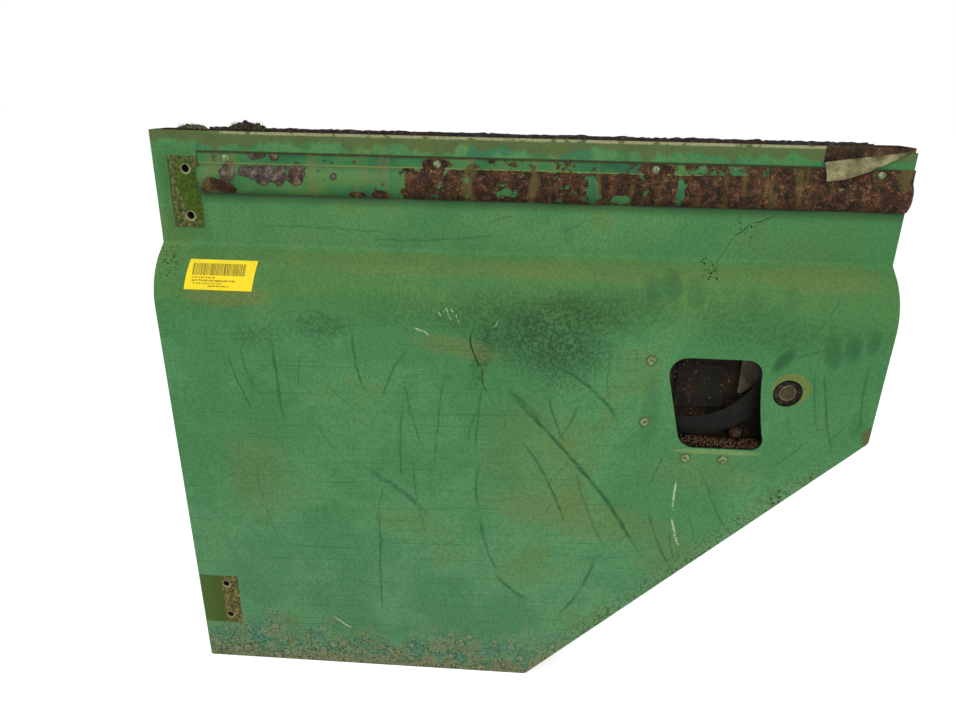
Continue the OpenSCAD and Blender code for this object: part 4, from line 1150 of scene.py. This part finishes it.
def capping_green():
    """Green over grey primer on steel, rusted through towards the latch edge."""
    g = Finish("rusted_capping_paint", 0.6)
    cloud = g.noise(g.stretch(g.where, (12, 1, 26)), 1.0, 4)
    colour = g.ramp(cloud,
                    [(0.36, paint(28, 80, 52)), (0.50, paint(48, 102, 56)), (0.62, paint(70, 110, 56))])
    along = g.node("MapRange", {"Value": g.x, "From Min": 0.016, "From Max": 0.766}).outputs["Result"]
    grey = lambda v: (v, v, v, 1)
    cover = g.ramp(along, [(0.0, grey(0.40)), (0.06, grey(0.32)), (0.20, grey(0.30)), (0.28, grey(0.34)),
                           (0.31, grey(0.58)), (0.50, grey(0.61)), (0.56, grey(0.53)), (0.60, grey(0.60)),
                           (0.78, grey(0.68)), (0.86, grey(0.86)), (1.0, grey(0.98))])
    on_bead = g.step(g.z, 0.0312, 0.0328, 0.0, -0.17)
    late = g.step(g.x, 0.690, 0.735, 0.0, 0.17)
    low = g.step(g.z, 0.012, 0.000, 0.0, 0.03)
    total = g.math("ADD", g.math("ADD", cover, on_bead), g.math("ADD", late, low))
    for x, z, wide, high, turn, more in WORN_PATCHES:
        total = g.math("ADD", total, g.product(g.spot(x, z, wide, high, turn, 0.5, 0.4, grain=120.0), more))
    worn = g.group(FLAKING, {"Position": g.where, "Cover": total, "Scale": 62.0})
    # grey primer laid bare in chips
    chips = chip_edge = None
    for x, z, wide, high, turn, ragged in PRIMER_CHIPS:
        chip = g.spot(x, z, wide, high, turn, 0.05, ragged, grain=140.0)
        edge = g.spot(x, z, wide + 1.6, high + 1.4, turn, 0.05, ragged, grain=140.0)
        chips = chip if chips is None else g.most(chips, chip)
        chip_edge = edge if chip_edge is None else g.most(chip_edge, edge)
    primer = g.ramp(g.noise(g.where, 150.0, 5, 0.65),
                    [(0.38, paint(34, 28, 22)), (0.50, paint(66, 58, 50)), (0.62, paint(108, 94, 80))])
    rust = g.group(RUST, {"Position": g.where, "Scale": 1.2, "Warmth": 0.45})
    colour = g.mix(g.product(chip_edge, 0.9), colour, paint(52, 40, 24))
    colour = g.mix(g.product(worn["Rim"], 0.75), colour, paint(84, 76, 42))
    colour = g.mix(worn["Bare"], colour, rust["Colour"])
    laid_bare = g.mix(g.step(g.noise(g.where, 70.0, 3), 0.50, 0.58), primer, rust["Colour"])
    colour = g.mix(chips, colour, laid_bare)
    tan = g.product(g.step(g.noise(g.where, 90.0, 5, 0.7), 0.60, 0.66), g.step(g.x, 0.50, 0.70), worn["Bare"])
    colour = g.mix(g.product(tan, 0.75), colour, paint(118, 104, 66))
    # painted highlight along the step with a darker band just under it, the dark seam above, and painted
    # shade on the bead's underside
    seam = g.step(g.z, 0.0412, 0.0430)
    colour = g.mix(g.product(seam, 0.85), colour, paint(50, 38, 22))
    whole = g.math("SUBTRACT", 1.0, worn["Bare"])
    # painted highlight: a pale line along the step
    colour = g.mix(g.product(g.band(g.z, 0.0318, 0.0330, 0.0005), whole, 0.80), colour, paint(112, 120, 58))
    colour = g.mix(g.product(g.band(g.z, 0.0302, 0.0316, 0.0005), whole, 0.55), colour, paint(56, 66, 36))
    # painted shade: the bead's underside darkened where it turns under
    under = g.step(g.z, 0.0030, -0.0005)
    colour = g.mix(g.product(under, 0.8), colour, paint(34, 30, 20))
    stain = g.product(g.step(g.noise(g.stretch(g.where, (60, 1, 18)), 1.0, 4), 0.52, 0.66), 0.4)
    colour = g.mix(stain, colour, paint(104, 96, 52))
    dots = g.group(SPECKS, {"Position": g.where, "Scale": 130.0, "Size": 0.22, "Share": 0.3})["Dot"]
    colour = g.mix(g.product(dots, 0.8), colour, paint(54, 38, 26))
    relief = g.math("ADD", g.product(rust["Height"], worn["Bare"], 0.8), g.product(worn["Rim"], 0.9))
    relief = g.math("SUBTRACT", relief, g.product(chips, 0.7))
    roughness = g.math("ADD", 0.52, g.product(worn["Bare"], 0.36))
    return g.close(colour, roughness, relief, 0.0008, 0.8)


def rusty_steel(name, dark, warmth=0.5):
    """Rusted frame steel with rests of its old dark paint and dust."""
    g = Finish(name, 0.85)
    rust = g.group(RUST, {"Position": g.where, "Scale": 0.8, "Warmth": warmth})
    colour = g.mix(dark, rust["Colour"], paint(30, 24, 20))
    old = g.group(FLAKING, {"Position": g.where, "Cover": 0.36, "Scale": 30.0})
    colour = g.mix(g.product(old["Bare"], 0.6), colour, paint(52, 66, 44))
    dusty = g.group(DUST, {"Position": g.where, "Scale": 16.0, "Amount": 0.25})["Mask"]
    colour = g.mix(dusty, colour, paint(92, 78, 58))
    roughness = g.math("SUBTRACT", 0.95, g.product(old["Bare"], 0.25))
    return g.close(colour, roughness, rust["Height"], 0.0006, 0.7)


def inner_green():
    """Dusty green inside paint with rust runs and scuffs."""
    g = Finish("dusty_inner_paint", 0.7)
    cloud = g.noise(g.where, 7.0, 6, 0.6)
    colour = g.ramp(cloud,
                    [(0.30, paint(62, 96, 64)), (0.50, paint(80, 116, 78)), (0.70, paint(104, 126, 88))])
    dusty = g.group(DUST, {"Position": g.where, "Scale": 12.0, "Amount": 0.55})["Mask"]
    colour = g.mix(dusty, colour, paint(138, 130, 100))
    off = g.group(FLAKING, {"Position": g.where, "Cover": 0.36, "Scale": 34.0})
    rust = g.group(RUST, {"Position": g.where, "Scale": 1.0, "Warmth": 0.6})
    colour = g.mix(off["Rim"], colour, paint(118, 100, 66))
    colour = g.mix(off["Bare"], colour, rust["Colour"])
    lines = g.group(STREAKS, {"Position": g.where, "Turn": math.radians(88), "Length": 5.0,
                              "Width": 90.0, "Share": 0.4})["Mask"]
    colour = g.mix(g.product(lines, 0.35), colour, paint(86, 74, 48))
    relief = g.math("SUBTRACT", g.product(rust["Height"], off["Bare"]), g.product(off["Bare"], 0.6))
    return g.close(colour, g.math("ADD", 0.62, g.product(off["Bare"], 0.3)), relief, 0.0005, 0.6)


def flap_paint():
    """Bleached underside of the torn strip."""
    g = Finish("bleached_flap", 0.75)
    cloud = g.noise(g.where, 60.0, 6, 0.65)
    colour = g.ramp(cloud,
                    [(0.36, paint(70, 64, 38)), (0.50, paint(114, 108, 74)), (0.64, paint(146, 140, 104))])
    dots = g.group(SPECKS, {"Position": g.where, "Scale": 330.0, "Size": 0.3, "Share": 0.4})["Dot"]
    colour = g.mix(g.product(dots, 0.6), colour, paint(74, 60, 40))
    lines = g.group(STREAKS, {"Position": g.where, "Turn": math.radians(-6), "Length": 30.0,
                              "Width": 500.0, "Share": 0.5})["Mask"]
    colour = g.mix(g.product(lines, 0.4), colour, paint(112, 106, 80))
    return g.close(colour, g.math("ADD", 0.62, g.product(cloud, 0.2)), cloud, 0.0005, 0.7)


def recess_black():
    """Near-black steel of the handle recess with brown rust and dust. Its near-black ground is partly the
    steel's own dark colour and partly painted shade of the deep recess.
    """
    g = Finish("dark_steel_and_painted_shade_recess", 0.7, gloss=0.10)
    rust = g.group(RUST, {"Position": g.where, "Scale": 1.6, "Warmth": 0.2})
    cloud = g.noise(g.where, 48.0, 6, 0.65)
    # painted shade: the near-black ground also stands for the shade deep inside the recess
    colour = g.mix(g.step(cloud, 0.44, 0.60), paint(17, 19, 16), paint(36, 24, 16))
    rusted = g.step(g.math("ADD", cloud, g.step(g.x, 0.580, 0.530, 0.0, 0.12)), 0.54, 0.66)
    colour = g.mix(g.product(rusted, 0.7), colour, rust["Colour"])
    dusty = g.group(DUST, {"Position": g.where, "Scale": 90.0, "Amount": 0.22})["Mask"]
    colour = g.mix(dusty, colour, paint(58, 54, 42))
    dots = g.group(SPECKS, {"Position": g.where, "Scale": 260.0, "Size": 0.28, "Share": 0.18})["Dot"]
    colour = g.mix(g.product(dots, 0.5), colour, paint(118, 106, 84))
    relief = g.math("ADD", cloud, g.product(rust["Height"], 0.4))
    return g.close(colour, g.math("ADD", 0.45, g.product(cloud, 0.4)), relief, 0.0006, 0.7)


def lock_black():
    """Near black housing with a little brown dust in its ring. The near-black is partly the housing's own
    black and partly painted shade of the gap round the barrel.
    """
    g = Finish("lock_housing_black", 0.6, gloss=0.10)
    cloud = g.noise(g.where, 160.0, 4, 0.65)
    dusty = g.step(g.math("ADD", cloud, g.step(g.x, 0.662, 0.655, 0.0, 0.10)), 0.50, 0.62, 0.0, 0.7)
    # painted shade: the near-black also stands for the shadowed gap round the barrel
    colour = g.mix(dusty, paint(9, 8, 7), paint(62, 50, 36))
    return g.close(colour, g.math("ADD", 0.45, g.product(cloud, 0.3)), cloud, 0.0003, 0.5)


def black_steel():
    """Satin black lever with faint streaks scuffed to bare metal."""
    g = Finish("satin_black_lever", 0.45, gloss=0.12)
    cloud = g.noise(g.where, 70.0, 5, 0.6)
    colour = g.mix(g.step(cloud, 0.40, 0.70), paint(8, 8, 6), paint(20, 19, 15))
    scuffs = g.group(STREAKS, {"Position": g.where, "Turn": math.radians(-30), "Length": 40.0,
                               "Width": 900.0, "Share": 0.3})["Mask"]
    colour = g.mix(g.product(scuffs, 0.25), colour, paint(80, 76, 66))
    dusty = g.group(DUST, {"Position": g.where, "Scale": 60.0, "Amount": 0.10})["Mask"]
    colour = g.mix(dusty, colour, paint(52, 48, 38))
    return g.close(colour, g.math("ADD", 0.36, g.product(cloud, 0.35)), cloud, 0.0003, 0.5)


def dull_zinc(name="dull_zinc_plate", dark=0.0):
    """Dirty zinc plate with rust spots."""
    g = Finish(name, 0.55, 0.6)
    cloud = g.noise(g.where, 40.0, 6, 0.65)
    colour = g.ramp(cloud,
                    [(0.32, paint(58, 54, 44)), (0.50, paint(86, 80, 66)), (0.68, paint(120, 112, 94))])
    rust = g.group(RUST, {"Position": g.where, "Scale": 1.5, "Warmth": 0.3})
    spots = g.group(FLAKING, {"Position": g.where, "Cover": 0.42, "Scale": 60.0})["Bare"]
    colour = g.mix(g.product(spots, 0.8), colour, rust["Colour"])
    # dark mixes the zinc towards grey-black; for the latch bracket this is painted shade
    colour = g.mix(dark, colour, paint(36, 34, 30))
    roughness = g.math("ADD", 0.42, g.product(cloud, 0.35))
    return g.close(colour, roughness, cloud, 0.0003, 0.5)


def worn_alloy(name="worn_lock_alloy", face=None):
    """Cast alloy with grime in its hollows and turned marks."""
    g = Finish(name, 0.42, 0.45)
    grain = g.noise(g.where, 420.0, 5, 0.65)
    cloud = g.noise(g.where, 160.0, 4)
    colour = g.ramp(g.math("ADD", g.product(grain, 0.5), g.product(cloud, 0.5)),
                    [(0.36, paint(44, 38, 26)), (0.52, paint(82, 74, 54)), (0.66, paint(136, 128, 104))])
    if face is not None:
        deep = g.step(g.y, face, face + 0.0004)
        colour = g.mix(g.product(deep, 0.9), colour, paint(58, 50, 32))
    return g.close(colour, g.math("ADD", 0.34, g.product(grain, 0.35)), grain, 0.0002, 0.6)


def rivet_alloy():
    """Dull rivets, mostly painted over."""
    g = Finish("painted_rivets", 0.5, 0.3)
    grain = g.noise(g.where, 300.0, 5, 0.65)
    colour = g.ramp(grain,
                    [(0.36, paint(64, 78, 50)), (0.50, paint(104, 122, 80)), (0.64, paint(150, 156, 122))])
    return g.close(colour, g.math("ADD", 0.42, g.product(grain, 0.3)), grain, 0.0002, 0.6)


def old_rubber():
    """Perished black rubber, greyed with dust."""
    g = Finish("perished_rubber", 0.85)
    cloud = g.noise(g.where, 90.0, 6, 0.7)
    colour = g.ramp(cloud, [(0.36, paint(24, 22, 20)), (0.54, paint(48, 42, 36)), (0.70, paint(88, 80, 66))])
    dots = g.group(SPECKS, {"Position": g.where, "Scale": 400.0, "Size": 0.3, "Share": 0.3})["Dot"]
    colour = g.mix(g.product(dots, 0.5), colour, paint(108, 100, 82))
    return g.close(colour, g.math("ADD", 0.7, g.product(cloud, 0.25)), cloud, 0.0006, 0.8)


def mossy_crumbs(name, dark):
    """Crumbled seal with moss, grit and dust."""
    g = Finish(name, 0.95)
    cloud = g.noise(g.where, 420.0, 5, 0.75)
    colour = g.ramp(cloud, [(0.38, paint(26, 24, 20)), (0.50, paint(58, 52, 38)), (0.60, paint(104, 98, 72)),
                            (0.70, paint(150, 146, 116))])
    moss = g.step(g.noise(g.where, 120.0, 3), 0.52, 0.62)
    colour = g.mix(g.product(moss, 0.5), colour, paint(70, 82, 44))
    colour = g.mix(dark, colour, paint(20, 18, 16))
    return g.close(colour, None, cloud, 0.0008, 0.9)


def soil():
    """Dry brown soil grains with pale grit."""
    g = Finish("dry_soil", 0.95)
    cloud = g.noise(g.where, 520.0, 4, 0.7)
    colour = g.ramp(cloud, [(0.36, paint(46, 32, 22)), (0.50, paint(82, 60, 40)), (0.60, paint(122, 94, 64)),
                            (0.70, paint(184, 160, 124))])
    return g.close(colour, None, cloud, 0.0004, 0.6)


def label_film():
    """Yellow label with plain bars and dashes in place of its print."""
    g = Finish("yellow_label", 0.5)
    u = g.math("DIVIDE", g.math("SUBTRACT", g.x, 0.003), 0.076)
    faded = g.step(g.noise(g.where, 30.0, 4), 0.40, 0.70, 0.0, 0.5)
    colour = g.mix(faded, paint(236, 208, 28), paint(214, 190, 40))
    stripes = g.step(g.noise(g.stretch(g.where, (1500, 0.01, 0.01)), 1.0, 1), 0.48, 0.50)
    bars = g.product(stripes, g.band(g.z, -0.0850, -0.0735, 0.0004), g.band(u, 0.06, 0.84, 0.005))
    words = g.step(g.noise(g.stretch(g.where, (900, 0.01, 500)), 1.0, 1), 0.46, 0.50)
    rows = g.most(g.product(g.band(g.z, -0.0880, -0.0866, 0.0002), g.band(u, 0.06, 0.40, 0.01)),
                  g.product(g.band(g.z, -0.0912, -0.0894, 0.0002), g.band(u, 0.06, 0.70, 0.01)),
                  g.product(g.band(g.z, -0.0938, -0.0926, 0.0002), g.band(u, 0.06, 0.52, 0.01)),
                  g.product(g.band(g.z, -0.0966, -0.0952, 0.0002), g.band(u, 0.30, 0.62, 0.01)))
    colour = g.mix(g.product(g.most(bars, g.product(rows, words)), 0.85), colour, paint(58, 50, 20))
    return g.close(colour, 0.5, g.noise(g.where, 60.0, 3), 0.0003, 0.4)


def pale_floor():
    """Pale floor that looks white to the camera and keeps the door's shadow."""
    g = Finish("pale_floor", 0.9)
    g.shader.inputs["Base Color"].default_value = (0.86, 0.86, 0.86, 1)
    g.shader.inputs["Specular IOR Level"].default_value = 0.1
    path = g.node("LightPath")
    glow = g.node("Emission", {"Color": (1, 1, 1, 1), "Strength": 0.52})
    seen = g.math("MAXIMUM", path.outputs["Is Camera Ray"], path.outputs["Is Glossy Ray"])
    both = g.node("AddShader", {0: g.shader.outputs["BSDF"], 1: glow.outputs["Emission"]})
    choice = g.node("MixShader", {0: seen, 1: g.shader.outputs["BSDF"], 2: both.outputs["Shader"]})
    g.join(choice.outputs["Shader"], g.tree.nodes["Material Output"].inputs["Surface"])
    return g.material


# The door

def dress(name, *materials):
    """Gives a CAD node its finish."""
    node = cad[name]
    node.data.materials.clear()
    for material in materials:
        node.data.materials.append(material)


INNER = inner_green()
FRAME_RUST, DARK_RUST = rusty_steel("rusted_frame_steel", 0.25), rusty_steel("dark_rusted_steel", 0.45, 0.3)
ZINC, RECESS, RIVETS, RUBBER = dull_zinc(), recess_black(), rivet_alloy(), old_rubber()

skin = place(door_skin(), "door", "green_paint", *[door_green(zone) for zone in ZONES])
# Both sides and the edges of the sheet take the finish of the zone they lie in.
edit(skin)
for number, (name, left, right, low, high) in enumerate(ZONES[1:], start=1):
    pick(skin, "FACE", lambda f: f.material_index == 0 and left < middle(f).x < right
         and low < middle(f).z < high)
    skin.active_material_index = number
    bpy.ops.object.material_slot_assign()
leave_edit()
flap = place(torn_flap(), "door", "green_paint", flap_paint())
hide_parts("outer_skin")
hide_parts("outer_skin")
capping = place(waist_capping(), "door", "capping_paint", capping_green())
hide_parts("waist_capping")
for name, near, far, seed in (("outer_wiper_seal", 0.0118, 0.0148, 3),
                              ("inner_wiper_seal", 0.0250, 0.0280, 4)):
    strip = place(perished_strip("perished_" + name, near, far, seed), "door", "old_rubber", RUBBER)
    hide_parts(name)
low_crumbs = place(crumbs("seal_crumbs_front", -0.006, 0.027, 0.008, 21), "door", "old_rubber",
                   mossy_crumbs("grey_crumbs", 0.15))
tuft = place(crumbs("seal_crumbs_tuft", 0.052, 0.092, 0.0135, 22), "door", "old_rubber",
             mossy_crumbs("dark_tuft", 0.55))
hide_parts("seal_remnants")
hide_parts("seal_remnants")
place(pan_backing(), "door", "recess_black", RECESS)
place(grit(), "door", "recess_black", soil())
place(sticker(), "door", "green_paint", label_film())

dress("capping_rivets", RIVETS)
dress("handle_rivets", RIVETS)
for name in ("hinge_pillar", "lock_pillar", "wheel_arch_rail", "bottom_rail", "waist_rail_inner",
             "waist_rail_outer"):
    dress(name, FRAME_RUST)
for name in ("upper_hinge_plate", "lower_hinge_plate", "latch_claw", "lever_spring"):
    dress(name, DARK_RUST)
for name in ("front_glass_channel", "rear_glass_channel", "latch_case", "lever_pivot"):
    dress(name, ZINC)
# The latch bracket takes a darker copy of the zinc: painted shade, as it sits deep behind the handle opening.
dress("latch_bracket", dull_zinc("shaded_bracket_zinc", 0.35))
dress("handle_pan", RECESS)
dress("lock_housing", lock_black())
dress("lock_barrel", worn_alloy())
place(lock_face(), "barrel", "worn_alloy", worn_alloy("worn_barrel_face", -0.0352))
lever = place(sickle_lever(), "lever", "black_steel", black_steel())
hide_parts("release_lever")
dress("inner_panel", INNER)


# Studio

DOOR_MIDDLE = Vector((0.36, 0, -0.25))
# Lamps: name, place, size, power
LAMPS = [("high_lamp", (0.0, -1.6, 1.7), 1.8, 34), ("side_lamp", (1.9, -1.2, 0.6), 1.4, 14)]
# The camera's lens, place and directions come from its fit to the door's outline.
LENS = 27.15
CAMERA_PLACE = (0.36585, -0.78343, 0.11459)
CAMERA_FORWARD = (-0.051453, 0.933614, -0.354568)
CAMERA_UP = (-0.040739, 0.352780, 0.934819)


def studio():
    """Pale floor and world, and two broad soft lamps."""
    floor = start("studio_floor", bpy.ops.mesh.primitive_plane_add, size=30,
                  location=(0.36, 0, FOOT - 0.0006))
    floor.data.materials.append(pale_floor())
    floor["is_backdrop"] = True
    world = bpy.data.worlds.new("pale_room")
    bpy.context.scene.world = world
    world.use_nodes = True
    g = Graph(world.node_tree)
    path = g.node("LightPath")
    seen = g.math("MAXIMUM", g.math("MAXIMUM", path.outputs["Is Camera Ray"], path.outputs["Is Glossy Ray"]),
                  path.outputs["Is Transmission Ray"])
    back = world.node_tree.nodes["Background"]
    g.join(g.mix(seen, (0.55, 0.56, 0.57, 1), (1, 1, 1, 1)), back.inputs["Color"])
    for name, place_at, size, power in LAMPS:
        bpy.ops.object.select_all(action="DESELECT")
        bpy.ops.object.light_add(type="AREA", location=place_at)
        lamp = bpy.context.active_object
        lamp.name = name
        lamp.data.size = size
        lamp.data.energy = power
        aim = DOOR_MIDDLE - Vector(place_at)
        lamp.rotation_euler = aim.to_track_quat("-Z", "Y").to_euler()


def camera():
    """The photograph's viewpoint: just above the waist, looking down a little."""
    lens = bpy.data.cameras.new("photo_camera")
    lens.lens = LENS
    lens.sensor_width = 36
    lens.clip_start = 0.01
    eye = bpy.data.objects.new("photo_camera", lens)
    bpy.context.scene.collection.objects.link(eye)
    forward = Vector(CAMERA_FORWARD).normalized()
    right = forward.cross(Vector(CAMERA_UP)).normalized()
    up = right.cross(forward)
    turn = Matrix((right, up, -forward)).transposed()
    eye.matrix_world = Matrix.Translation(CAMERA_PLACE) @ turn.to_4x4()
    bpy.context.scene.camera = eye


studio()
camera()
bpy.context.scene.view_settings.view_transform = "Standard"

({"cad": [list(corner) for corner in cad_box],
           "visual": [list(corner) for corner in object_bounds()]})
